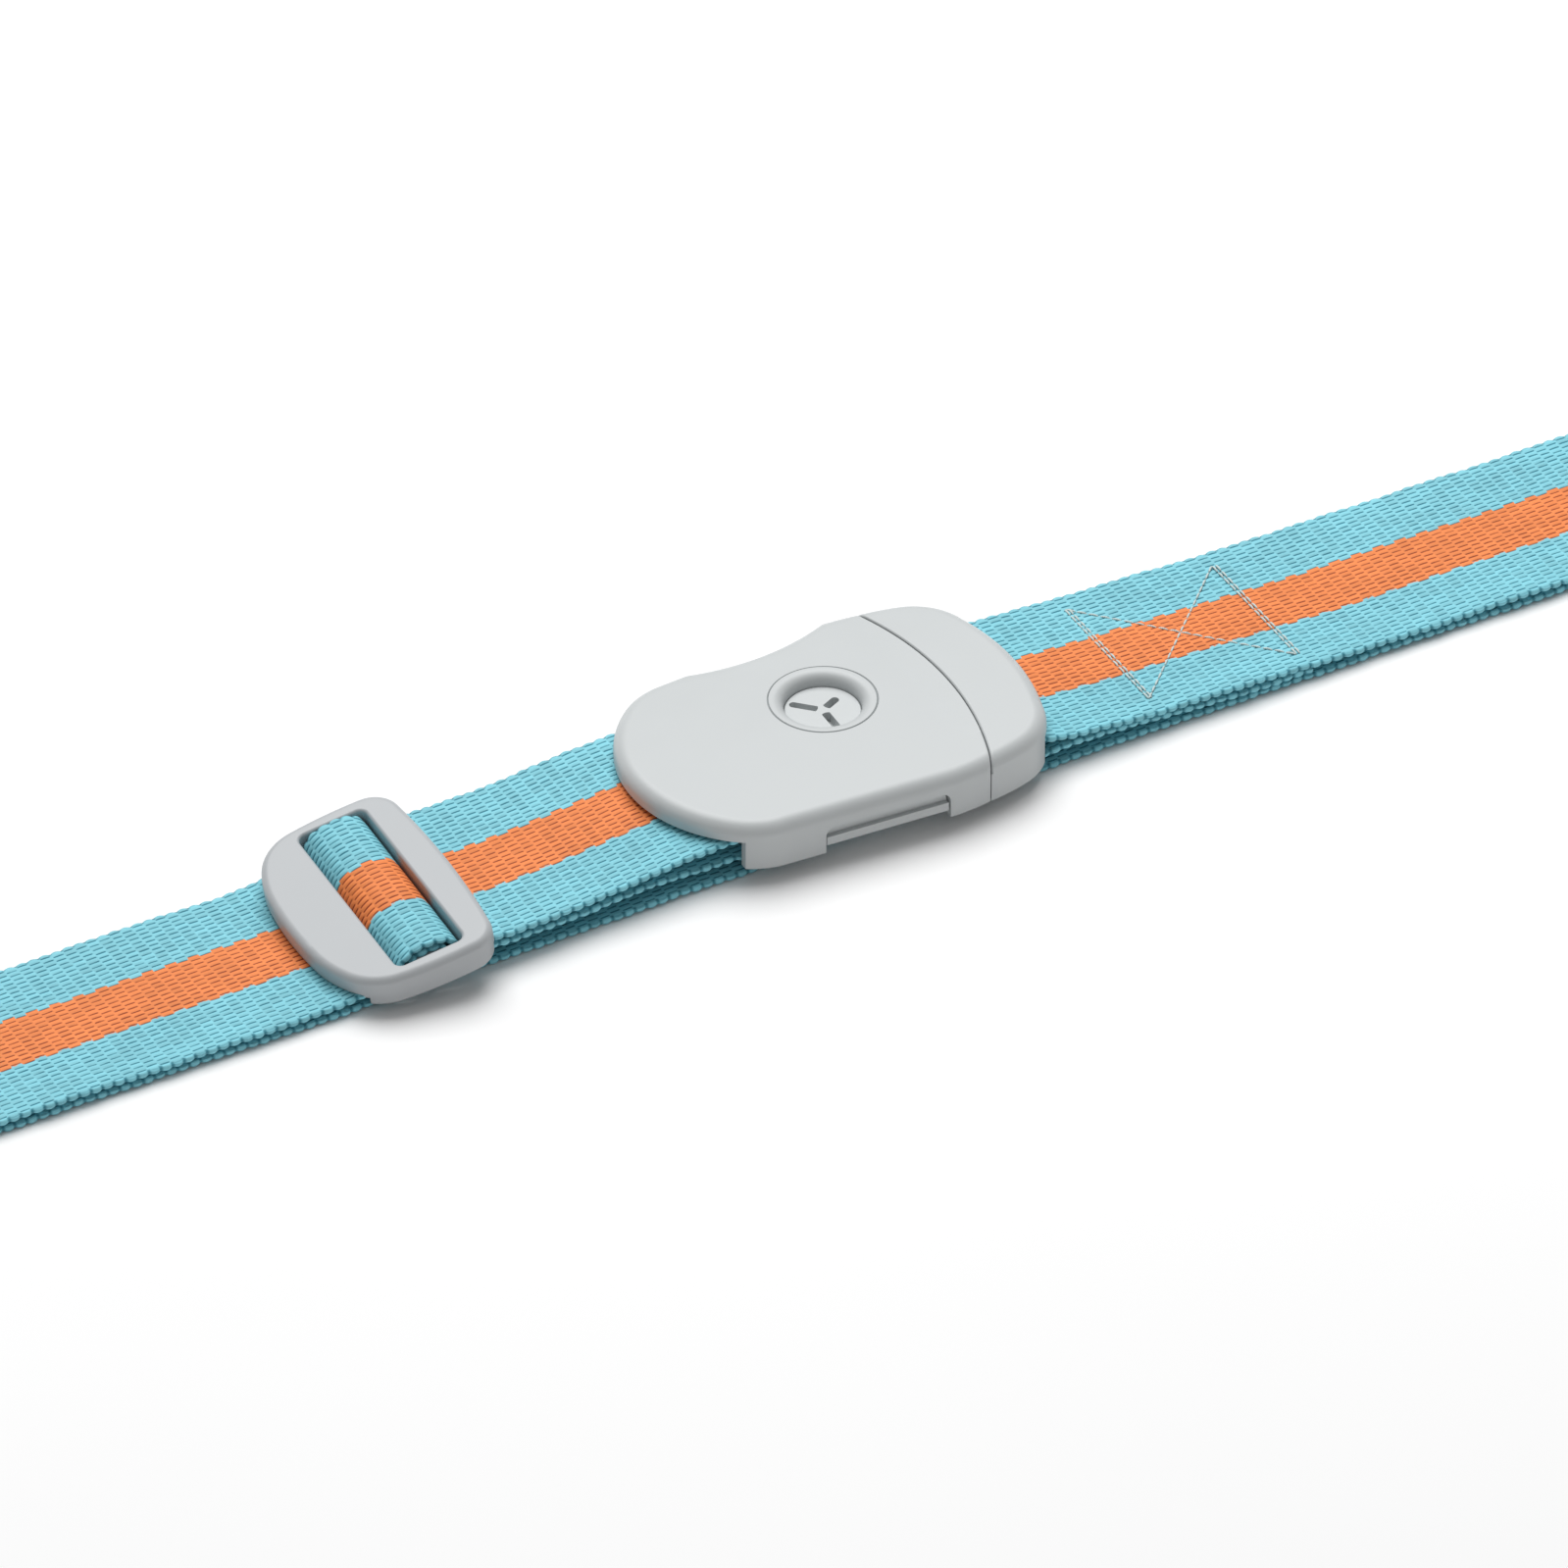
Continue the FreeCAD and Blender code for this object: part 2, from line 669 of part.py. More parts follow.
def make_lock_cam():
    """Blocking bar on the plug's shaft, along the strap while unlocked."""
    body = new_body("lock_cam")
    sketch = new_sketch(body, "XY_Plane", "cam_low")
    rectangle(sketch, "-cam_near", "cam_far", "-cam_half", "cam_half")
    feature(body, "Pad", sketch, "cam_high - cam_low")
    hub = new_sketch(body, "XY_Plane", "cam_low")
    circle(hub, "0", "0", "cam_half + 2.5")
    feature(body, "Pad", hub, "cam_high - cam_low")
    bore = new_sketch(body, "XY_Plane", "cam_low")
    circle(bore, "0", "0", "shaft_radius + 0.03")
    feature(body, "Pocket", bore, "cam_high", reverse=True)
    rounded(body, "scallop_round / 4", lambda edge: upright(edge) and (
        abs(box(edge).XMin) > size("cam_far") - 1))
    body.setExpression("Placement.Base.y", "dims.lock_y")
    return body


def make_cam_clip():
    """Split retaining clip in the shaft's groove, under the cam."""
    body = new_body("cam_clip")
    sketch = new_sketch(body, "XY_Plane", "clip_low")
    circle(sketch, "0", "0", "clip_radius")
    feature(body, "Pad", sketch, "clip_high - clip_low")
    bore = new_sketch(body, "XY_Plane", "clip_low")
    circle(bore, "0", "0", "shaft_neck + 0.05")
    feature(body, "Pocket", bore, "clip_high", reverse=True)
    gap = new_sketch(body, "XY_Plane", "clip_low")
    rectangle(gap, "0", "clip_radius + 1", "-shaft_neck * 0.6", "shaft_neck * 0.6")
    feature(body, "Pocket", gap, "clip_high", reverse=True)
    body.setExpression("Placement.Base.y", "dims.lock_y")
    return body


def make_detent_ball():
    """Ball that clicks into the plug's flange."""
    ball = doc.addObject("Part::Sphere", "detent_ball")
    ball.setExpression("Radius", "dims.ball_radius")
    ball.setExpression("Placement.Base.y", "dims.detent_y")
    ball.setExpression("Placement.Base.z", "dims.flange_high + dims.ball_radius + 0.02")
    ball.Label = "detent_ball"
    return ball


def make_detent_spring():
    """Coil spring over the detent ball."""
    helix = doc.addObject("Part::Helix", "spring_path")
    helix.setExpression("Radius", "dims.spring_radius")
    helix.setExpression("Height", "dims.spring_height")
    helix.setExpression("Pitch", "dims.spring_pitch")
    wire = doc.addObject("Part::Circle", "spring_section")
    wire.setExpression("Radius", "dims.spring_wire")
    wire.setExpression("Placement.Base.x", "dims.spring_radius")
    wire.Placement.Rotation = FreeCAD.Rotation(FreeCAD.Vector(1, 0, 0), 90)
    coil = doc.addObject("Part::Sweep", "detent_spring")
    coil.Sections = [wire]
    coil.Spine = (helix, [])
    coil.Solid = True
    coil.Frenet = True
    coil.setExpression("Placement.Base.y", "dims.detent_y")
    coil.setExpression("Placement.Base.z", "dims.flange_high + dims.ball_radius * 2 + 0.16")
    coil.Label = "detent_spring"
    return coil


# ----------------------------------------------------------------------- tongue
def make_tongue():
    """Cross block in the end cap with the flat guide tongue."""
    body = new_body("tongue")
    block = new_sketch(body, "XY_Plane", "block_low")
    rectangle(block, "block_left", "block_right", "-block_half", "block_half")
    feature(body, "Pad", block, "block_high - block_low")
    guide = new_sketch(body, "XY_Plane", "block_low")
    rectangle(guide, "tongue_left", "block_left", "-tongue_half", "tongue_half")
    feature(body, "Pad", guide, "tongue_high - block_low")
    rounded(body, "edge_round", lambda edge: upright(edge) and (
        abs(box(edge).XMin - size("tongue_left")) < 0.1))
    holes = new_sketch(body, "XY_Plane", "block_low")
    for x, y in CAP_SCREW_PLACES:
        circle(holes, str(x), str(y), "screw_hole")
    feature(body, "Pocket", holes, "parting", reverse=True)
    return body


def make_latch_arm(label, side):
    """Spring arm with its press pad in the side window; side is -1 near, +1 far."""
    sign = "-" if side < 0 else ""
    other = "" if side < 0 else "-"

    def across(words):
        """Sheet words for a distance from the centre line on this arm's side."""
        return f"{sign}( {words} )" if sign else words

    def ordered(corners):
        """Keep the profile anticlockwise on either side."""
        return corners if side > 0 else corners[::-1]

    body = new_body(label)
    beam = new_sketch(body, "XY_Plane", "arm_low")
    outline(beam, ordered([
        ("arm_left", across("arm_inner"), ""),
        ("arm_root", across("arm_inner"), ""),
        ("arm_root", across("arm_inner + arm_thick"), ""),
        ("arm_left", across("arm_inner + arm_thick"), ""),
    ]))
    feature(body, "Pad", beam, "arm_high - arm_low")
    for low, high, recess in (("arm_low", "pad_step", "0"),
                              ("pad_step", "arm_high", "pad_recess")):
        pad = new_sketch(body, "XY_Plane", low)
        outline(pad, ordered([
            ("pad_left", across("arm_inner + 0.5"), ""),
            ("pad_right", across("arm_inner + 0.5"), ""),
            ("pad_right", across(f"pad_out_right - {recess}"), ""),
            ("pad_left", across(f"pad_out_left - {recess}"), ""),
        ]))
        feature(body, "Pad", pad, f"{high} - {low}")
    rounded(body, "window_round", lambda edge: crosswise(edge, "arm_high") and (
        box(edge).XMin > size("pad_left") - 0.05))
    if side > 0:
        scallop = new_sketch(body, "XY_Plane", "skirt_low")
        circle(scallop, "scallop_x", "scallop_y + scallop_radius - 0.1", "scallop_radius")
        feature(body, "Pocket", scallop, "parting", reverse=True)
    return body


# --------------------------------------------------------------------- adjuster
SLIDER_PROFILE = [
    ("16.2", "-23.4", "226"),
    ("16.2", "23.4", "7.26"),
    ("9.4", "29.9", "110"),
    ("-9", "29.3", "13.87"),
    ("-19.7", "21.9", "31.2"),
    ("-23", "11", "100"),
    ("-23", "-11", "31.2"),
    ("-19.7", "-21.9", "13.87"),
    ("-9", "-29.3", "110"),
    ("9.4", "-29.9", "7.26"),
]
# the frame's lower half is this much smaller, which shows its parting line
LOWER_HALF = 0.988


def tilt(made):
    """Set a piece of the adjuster in its tilted place on the strap."""
    yaw = FreeCAD.Rotation(FreeCAD.Vector(0, 0, 1), size("slider_yaw_deg"))
    pitch = FreeCAD.Rotation(FreeCAD.Vector(0, 1, 0), -size("slider_pitch_deg"))
    roll = FreeCAD.Rotation(FreeCAD.Vector(1, 0, 0), size("slider_roll_deg"))
    place = FreeCAD.Vector(size("slider_x"), size("slider_y"), size("slider_z"))
    made.Placement = FreeCAD.Placement(place, yaw * pitch * roll)
    return made


def make_slider_frame():
    """D-shaped adjuster frame with the cross bar moulded in its window.

    Its two ends reach lower than its side bars, which the webbing passes under.
    """
    body = new_body("slider_frame")
    lower = new_sketch(body, "XY_Plane", "-slider_leg")
    outline(lower, [(f"{x} * {LOWER_HALF}", f"{y} * {LOWER_HALF}", f"{radius} * {LOWER_HALF}")
                    for x, y, radius in SLIDER_PROFILE])
    feature(body, "Pad", lower, "slider_leg + slider_parting")
    upper = new_sketch(body, "XY_Plane", "slider_parting")
    outline(upper, SLIDER_PROFILE)
    feature(body, "Pad", upper, "slider_thick - slider_parting")
    window = new_sketch(body, "XY_Plane", "-slider_leg")
    rectangle(window, "-window_half_u", "window_half_u", "-window_half_v", "window_half_v")
    feature(body, "Pocket", window, "slider_thick + slider_leg + 1", reverse=True)
    rounded(body, "window_corner", lambda edge: upright(edge) and (
        abs(abs(box(edge).XMin) - size("window_half_u")) < 0.1))
    rounded(body, "slider_under_round", lambda edge: on_rim(edge, size("slider_thick"), True))
    rounded(body, "slider_round", lambda edge: on_rim(edge, size("slider_thick"), False))
    rounded(body, "slider_under_round", lambda edge: on_rim(edge, size("-slider_leg"), False))
    channel = new_sketch(body, "XY_Plane", "-slider_leg - 1")
    rectangle(channel, "-30", "30", "-slider_channel", "slider_channel")
    feature(body, "Pocket", channel, "slider_leg + 1", reverse=True)
    bridge = new_sketch(body, "XY_Plane", "bridge_low")
    rectangle(bridge, "-bridge_half", "bridge_half", "-window_half_v - 1", "window_half_v + 1")
    feature(body, "Pad", bridge, "bridge_high - bridge_low")
    return tilt(body)


def on_rim(edge, level, wanted_inner):
    """True for a level edge of the frame's window, or of its outer outline."""
    bounds = box(edge)
    margin = 2.0
    inner = (max(abs(bounds.XMin), abs(bounds.XMax)) < size("window_half_u") + margin
             and max(abs(bounds.YMin), abs(bounds.YMax)) < size("window_half_v") + margin)
    level_edge = bounds.ZLength < 0.01 and abs(bounds.ZMin - level) < 0.01
    return level_edge and inner == wanted_inner


# ---------------------------------------------------------------------- webbing
def strip_profile(under):
    """Corner list of a strip of webbing from (x, z) points along its underside."""
    lower = [(str(x), str(z), "") for x, z in under]
    upper = [(str(x), f"{z} + web_thick", "") for x, z in reversed(under)]
    return lower + upper


def make_strip(label, under, centre="0"):
    """A length of webbing that follows a path of (x, z) points, strap-wide."""
    body = new_body(label)
    sketch = new_sketch(body, "XZ_Plane")
    outline(sketch, strip_profile(under))
    feature(body, "Pad", sketch, "web_width", middle=True)
    body.setExpression("Placement.Base.y", named(centre))
    return body


def make_bar_turn(label, x_name, z_name, facing):
    """Half turn of webbing round a bar; facing is +1 when it closes towards +X."""
    body = new_body(label)
    sketch = new_sketch(body, "XZ_Plane")
    x_words, z_words = x_name, z_name
    outer, inner = "bar_radius + web_thick + 0.05", "bar_radius + 0.05"
    rise = [(f"{z_words} - ( {outer} )", outer), (f"{z_words} + {outer}", outer),
            (f"{z_words} + {inner}", inner), (f"{z_words} - ( {inner} )", inner)]
    corners = [(x_words, rise[0][0], outer), (x_words, rise[1][0], ""),
               (x_words, rise[2][0], f"-{inner}"), (x_words, rise[3][0], "")]
    if facing < 0:
        corners = [(x_words, rise[1][0], outer), (x_words, rise[0][0], ""),
                   (x_words, rise[3][0], f"-{inner}"), (x_words, rise[2][0], "")]
    half_turn(sketch, corners)
    feature(body, "Pad", sketch, "web_width", middle=True)
    return body


def half_turn(sketch, corners):
    """Two concentric half circles joined by straight ends."""
    points = [FreeCAD.Vector(size(x), size(y), 0) for x, y, _ in corners]
    facing = 1 if points[1].y > points[0].y else -1
    centre = (points[0] + points[1]) * 0.5
    big, small = (points[1] - points[0]).Length / 2, (points[3] - points[2]).Length / 2
    away = FreeCAD.Vector(facing, 0, 0)
    sketch.addGeometry(Part.Arc(points[0], centre + away * big, points[1]), False)
    sketch.addGeometry(Part.LineSegment(points[1], points[2]), False)
    sketch.addGeometry(Part.Arc(points[2], centre + away * small, points[3]), False)
    sketch.addGeometry(Part.LineSegment(points[3], points[0]), False)


MID_PATH = [(-102.6, 7.6), (-98.0, 7.3), (-80.0, 7.2), (-56.0, 7.9), (-44.0, 8.75),
            (-35.5, 9.15)]
TAIL_PATH = [(-102.6, 5.7), (-98.0, 5.5), (-80.0, 4.8), (-56.0, 4.5), (-44.0, 4.1), (-35.5, 4.05)]
RIGHT_PATH = [(36.0, 8.75), (40.0, 8.4), (50.0, 6.0), (70.0, 4.7), (100.0, 3.4),
              (114.0, 3.3), (130.0, 2.4), (160.0, 2.1), (222.5, 1.75)]
UNDER_PATH = [(36.0, 3.65), (40.0, 3.8), (50.0, 4.4), (70.0, 3.15), (100.0, 1.65), (113.0, 1.6)]
HUMP_PATH = [(-9.8, -1.5), (-7.3, -1.5), (-5.6, 4.2), (-5.1, 5.3), (5.1, 5.3), (5.6, 4.2),
             (7.3, -1.5), (15.5, -1.5)]
HUMP_TOP = [(-9.8, -0.1), (-8.4, -0.1), (-7.0, 4.6), (-5.6, 6.7), (5.6, 6.7), (7.0, 4.6),
            (8.4, -0.1), (15.5, -0.1)]


def make_hump():
    """Webbing over the adjuster's cross bar, from under one side bar to the other."""
    body = new_body("web_hump")
    sketch = new_sketch(body, "XZ_Plane")
    lower = [(str(x), str(z), "") for x, z in HUMP_PATH]
    upper = [(str(x), str(z), "") for x, z in reversed(HUMP_TOP)]
    outline(sketch, lower + upper)
    feature(body, "Pad", sketch, "web_width", middle=True)
    return tilt(body)


def make_bar_loop():
    """Sewn loop of the webbing's end round the adjuster's cross bar."""
    body = new_body("web_bar_loop")
    ring = new_sketch(body, "XZ_Plane")
    rectangle(ring, "-bridge_half - web_thick", "bridge_half + web_thick",
              "bridge_low - web_thick", "bridge_high + web_thick")
    feature(body, "Pad", ring, "web_width", middle=True)
    hole = new_sketch(body, "XZ_Plane")
    rectangle(hole, "-bridge_half - 0.05", "bridge_half + 0.05", "bridge_low - 0.05",
              "bridge_high + 0.05")
    feature(body, "Pocket", hole, "web_width + 2", middle=True)
    stub = new_sketch(body, "XZ_Plane")
    outline(stub, [("4.2", "-1", ""), ("7.3", "-3.2", ""), ("15.5", "-3.2", ""),
                   ("15.5", "-1.8", ""), ("7.6", "-1.8", ""), ("4.7", "0", "")])
    feature(body, "Pad", stub, "web_width", middle=True)
    return tilt(body)


def make_slider_stitching():
    """Row of thread that closes the sewn loop, under the webbing beside the bar."""
    row = doc.addObject("Part::Box", "slider_stitching")
    row.setExpression("Length", "dims.thread")
    row.setExpression("Width", "dims.web_width - 8")
    row.setExpression("Height", "dims.thread / 2")
    row.Label = "slider_stitching"
    inner = FreeCAD.Placement(FreeCAD.Vector(11.0, 4.0 - size("web_width") / 2, -3.5),
                              FreeCAD.Rotation())
    holder = tilt(row)
    holder.Placement = holder.Placement.multiply(inner)
    return row


def make_left_fold():
    """Half round fold that joins the lower and upper layers at the left."""
    body = new_body("web_fold_left")
    sketch = new_sketch(body, "XZ_Plane")
    left = size("left_end")
    high = size("web_thick * 2 + web_gap")
    top = FreeCAD.Vector(left, high, 0)
    foot = FreeCAD.Vector(left, 0, 0)
    nose = FreeCAD.Vector(left - high / 2, high / 2, 0)
    sketch.addGeometry(Part.Arc(top, nose, foot), False)
    sketch.addGeometry(Part.LineSegment(foot, top), False)
    feature(body, "Pad", sketch, "web_width", middle=True)
    body.setExpression("Placement.Base.y", "dims.left_centre")
    return body


def make_roll():
    """The spare length of doubled webbing, wound into a round roll."""
    outer = doc.addObject("Part::Cylinder", "roll_outer")
    outer.setExpression("Radius", "dims.roll_radius")
    outer.setExpression("Height", "dims.web_width")
    core = doc.addObject("Part::Cylinder", "roll_core")
    core.setExpression("Radius", "dims.roll_core")
    core.setExpression("Height", "dims.web_width")
    roll = doc.addObject("Part::Cut", "web_roll")
    roll.Base, roll.Tool = outer, core
    roll.Label = "web_roll"
    roll.Placement = FreeCAD.Placement(
        FreeCAD.Vector(size("roll_centre"), size("web_width / 2"), size("roll_radius")),
        FreeCAD.Rotation(FreeCAD.Vector(1, 0, 0), 90))
    return roll


def make_box_stitching():
    """Thread of the sewn box with its two end rows and its diagonals."""
    left, right = size("stitch_left"), size("stitch_right")
    half, thread = size("stitch_half"), size("thread")
    surface_left, surface_right = 4.7 + 1.4, 3.34 + 1.4
    long_run = math.hypot(right - left, 2 * half)
    angle = math.degrees(math.atan2(2 * half, right - left))
    rows = [(left, -half, 2 * half, 90.0), (right, -half, 2 * half, 90.0),
            (left, -half, long_run, angle), (left, half, long_run, -angle)]
    solids = []
    for index, (x, y, run, turn) in enumerate(rows):
        bar = doc.addObject("Part::Box", f"stitch_row{index}")
        bar.Length = run
        bar.setExpression("Width", "dims.thread")
        bar.setExpression("Height", "dims.thread / 2")
        drop = (surface_right - surface_left) / (right - left)
        base = surface_left + drop * (x - left) + 0.05
        pitch = -math.degrees(math.atan2((surface_right - surface_left), run))
        lean = pitch if abs(turn) < 89 else 0.0
        bar.Placement = FreeCAD.Placement(
            FreeCAD.Vector(x, y - thread / 2, base + (0.3 if index == 3 else 0.0)),
            FreeCAD.Rotation(FreeCAD.Vector(0, 0, 1), turn)
            * FreeCAD.Rotation(FreeCAD.Vector(0, 1, 0), lean))
        solids.append(bar)
    group = doc.addObject("Part::Compound", "box_stitching")
    group.Links = solids
    group.Label = "box_stitching"
    return group


def build_all():
    """Every sub-part, in the order it goes together."""
    made = [
        make_top_cover(),
        make_lower_case(),
        make_bar("strap_bar", "strap_bar_x", "strap_bar_z", "strap_bar_half"),
        make_screws("case_screws", SCREW_PLACES, "screw_length"),
        make_lock_plug(),
        make_lock_cam(),
        make_cam_clip(),
        make_detent_ball(),
        make_detent_spring(),
        make_cap_upper(),
        make_cap_lower(),
        make_bar("cap_bar", "cap_bar_x", "cap_bar_z", "cap_bar_half"),
        make_screws("cap_screws", CAP_SCREW_PLACES, "cap_screw_length"),
        make_tongue(),
        make_latch_arm("latch_arm_near", -1),
        make_latch_arm("latch_arm_far", 1),
        make_slider_frame(),
        make_hump(),
        make_bar_loop(),
        make_slider_stitching(),
        make_strip("web_bottom", [(size("left_end"), 0.0), (size("bottom_end"), 0.0)],
                   "left_centre / 2"),
        make_left_fold(),
        make_strip("web_top_left", [(size("left_end"), size("web_thick + web_gap")),
                                    (size("top_left_end"), size("web_thick + web_gap"))],
                   "left_centre"),
        make_strip("web_mid", MID_PATH),
        make_bar_turn("web_wrap", "strap_bar_x", "strap_bar_z", 1),
        make_strip("web_tail", TAIL_PATH),
        make_bar_turn("web_cap_loop", "cap_bar_x", "cap_bar_z", -1),
        make_strip("web_right", RIGHT_PATH),
        make_strip("web_right_under", UNDER_PATH),
        make_roll(),
        make_box_stitching(),
    ]
    doc.recompute()
    return made


def check_and_write(made):
    """Stop on any failed object, then write one STEP file per sub-part."""
    for item in doc.Objects:
        if "Invalid" in item.State or "Error" in item.State:
            raise RuntimeError(f"{item.Label}: {item.State}")
    os.makedirs(PARTS_FOLDER, exist_ok=True)
    for item in made:
        shape = item.Shape
        if shape.isNull() or not shape.isValid():
            raise RuntimeError(f"{item.Label}: bad shape")
        shape.exportStep(os.path.join(PARTS_FOLDER, f"{item.Label}.step"))
        bounds = shape.BoundBox
        print(f"{item.Label:18s} solids {len(shape.Solids)} volume {shape.Volume:10.1f} "
              f"x {bounds.XMin:7.1f} {bounds.XMax:7.1f} y {bounds.YMin:6.1f} {bounds.YMax:6.1f} "
              f"z {bounds.ZMin:5.1f} {bounds.ZMax:5.1f}")


check_and_write(build_all())
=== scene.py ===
"""Luggage strap: striped woven webbing with a two-part side-press buckle and a slide adjuster.

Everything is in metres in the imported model's frame: +X runs along the strap from the
adjuster to the end cap, +Y across it and +Z up from the table. The sizes below are
written in millimetres and turned into metres by the constant MM.
"""

import logging
import math
from dataclasses import dataclass, field
from enum import Enum

import bpy
import numpy as np
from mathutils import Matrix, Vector


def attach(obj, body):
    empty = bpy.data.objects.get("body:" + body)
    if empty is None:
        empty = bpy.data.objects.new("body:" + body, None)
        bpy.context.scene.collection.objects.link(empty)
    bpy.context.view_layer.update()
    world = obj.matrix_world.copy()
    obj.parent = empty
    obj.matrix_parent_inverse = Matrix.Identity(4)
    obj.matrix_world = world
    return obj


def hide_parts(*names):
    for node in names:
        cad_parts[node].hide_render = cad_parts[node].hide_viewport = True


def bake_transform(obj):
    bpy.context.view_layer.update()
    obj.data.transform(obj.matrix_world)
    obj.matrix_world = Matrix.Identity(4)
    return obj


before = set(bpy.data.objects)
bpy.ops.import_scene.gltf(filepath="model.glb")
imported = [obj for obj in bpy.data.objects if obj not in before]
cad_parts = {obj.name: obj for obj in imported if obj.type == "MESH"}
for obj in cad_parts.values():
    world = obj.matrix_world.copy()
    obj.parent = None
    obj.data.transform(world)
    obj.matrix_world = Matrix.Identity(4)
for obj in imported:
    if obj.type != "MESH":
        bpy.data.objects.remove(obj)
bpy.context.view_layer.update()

LOG = logging.getLogger("luggage_strap")
MM = 0.001

Points = list[tuple[float, float]]
Colour = tuple[float, float, float]


class Body(Enum):
    """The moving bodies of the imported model."""
    HOUSING = "housing"
    LOCK = "lock"
    END_CAP = "end_cap"
    NEAR_ARM = "near_arm"
    FAR_ARM = "far_arm"
    ADJUSTER = "adjuster"


class Slot(Enum):
    """The record's material slots."""
    SHELL = "shell_grey"
    PLUG = "plug_grey"
    INNER = "inner_grey"
    STEEL = "steel"
    WEBBING = "webbing"
    THREAD = "thread"


class Held(Enum):
    """How a length of webbing is held."""
    LAID = "laid"
    FOLDED = "folded"


# ------------------------------------------------------------------ node wiring
@dataclass
class Wiring:
    """A node tree with short calls for adding nodes and joining them.

    Attributes:
        tree: the material's or group's node tree.
    """
    tree: bpy.types.NodeTree

    def add(self, kind: str, **settings: object) -> bpy.types.Node:
        """Add a node and set its properties.

        Args:
            kind: the node's Blender type name.
            settings: property names and values.

        Returns:
            The new node.
        """
        node = self.tree.nodes.new(kind)
        for name, value in settings.items():
            setattr(node, name, value)
        return node

    def feed(self, socket: bpy.types.NodeSocket, value: object) -> None:
        """Join a socket to another, or set its own value.

        Args:
            socket: the input to fill.
            value: an output socket, a number or a tuple.
        """
        if isinstance(value, bpy.types.NodeSocket):
            self.tree.links.new(value, socket)
        else:
            socket.default_value = value

    def calc(self, operation: str, *values: object) -> bpy.types.NodeSocket:
        """A Math node on numbers or sockets.

        Args:
            operation: the Math node's operation.
            values: its inputs, in order.

        Returns:
            The result's socket.
        """
        node = self.add("ShaderNodeMath", operation=operation)
        for socket, value in zip(node.inputs, values):
            self.feed(socket, value)
        return node.outputs[0]

    def step(self, value: object, low: float, high: float) -> bpy.types.NodeSocket:
        """A smooth step of a value: 0 at low, 1 at high.

        Args:
            value: the number or socket.
            low: where the result is 0.
            high: where the result is 1.

        Returns:
            The result's socket.
        """
        node = self.add("ShaderNodeMapRange", interpolation_type="SMOOTHSTEP")
        self.feed(node.inputs["Value"], value)
        node.inputs["From Min"].default_value = low
        node.inputs["From Max"].default_value = high
        return node.outputs["Result"]

    def mix(self, factor: object, first: object, second: object,
            blend: str = "MIX") -> bpy.types.NodeSocket:
        """Mix two colours.

        Args:
            factor: how much of the second, as a number or socket.
            first: a colour or socket.
            second: a colour or socket.
            blend: the Mix node's blend type.

        Returns:
            The mixed colour's socket.
        """
        node = self.add("ShaderNodeMix", data_type="RGBA", blend_type=blend)
        colour_in = [socket for socket in node.inputs if socket.type == "RGBA"]
        self.feed(node.inputs[0], factor)
        self.feed(colour_in[0], first)
        self.feed(colour_in[1], second)
        return next(socket for socket in node.outputs if socket.type == "RGBA")

    def noise(self, vector: object, scale: float, detail: float) -> bpy.types.NodeSocket:
        """A Noise Texture's value.

        Args:
            vector: the coordinates' socket.
            scale: the texture's scale.
            detail: its detail.

        Returns:
            The noise value's socket.
        """
        node = self.add("ShaderNodeTexNoise")
        self.feed(node.inputs["Vector"], vector)
        node.inputs["Scale"].default_value = scale
        node.inputs["Detail"].default_value = detail
        return node.outputs[0]

    def stretched(self, vector: object, scale: tuple[float, float, float]) -> bpy.types.NodeSocket:
        """Coordinates scaled by a Mapping node.

        Args:
            vector: the coordinates' socket.
            scale: the scale on X, Y and Z.

        Returns:
            The scaled coordinates' socket.
        """
        node = self.add("ShaderNodeMapping")
        self.feed(node.inputs["Vector"], vector)
        node.inputs["Scale"].default_value = scale
        return node.outputs["Vector"]

    def group(self, shared: bpy.types.NodeTree, **values: object) -> bpy.types.Node:
        """Place a shared node group with its own values.

        Args:
            shared: the group.
            values: its inputs by name.

        Returns:
            The group node.
        """
        node = self.add("ShaderNodeGroup", node_tree=shared)
        for name, value in values.items():
            self.feed(node.inputs[name], value)
        return node

    def bump(self, height: object, distance: float, strength: float = 1.0) -> bpy.types.NodeSocket:
        """A Bump node's normal.

        Args:
            height: the height's socket.
            distance: how far the height reaches, in metres.
            strength: the bump's strength.

        Returns:
            The normal's socket.
        """
        node = self.add("ShaderNodeBump")
        node.inputs["Distance"].default_value = distance
        node.inputs["Strength"].default_value = strength
        self.feed(node.inputs["Height"], height)
        return node.outputs["Normal"]


def new_group(name: str, inputs: dict[str, tuple[str, object]],
              outputs: dict[str, str]) -> tuple[Wiring, bpy.types.Node, bpy.types.Node]:
    """Start a shared shader node group.

    Args:
        name: the group's name.
        inputs: input names, each with its socket type and default.
        outputs: output names, each with its socket type.

    Returns:
        The wiring, the input node and the output node.
    """
    tree = bpy.data.node_groups.new(name, "ShaderNodeTree")
    for socket_name, (kind, default) in inputs.items():
        socket = tree.interface.new_socket(name=socket_name, in_out="INPUT", socket_type=kind)
        if default is not None:
            socket.default_value = default
    for socket_name, kind in outputs.items():
        tree.interface.new_socket(name=socket_name, in_out="OUTPUT", socket_type=kind)
    wiring = Wiring(tree)
    return wiring, wiring.add("NodeGroupInput"), wiring.add("NodeGroupOutput")


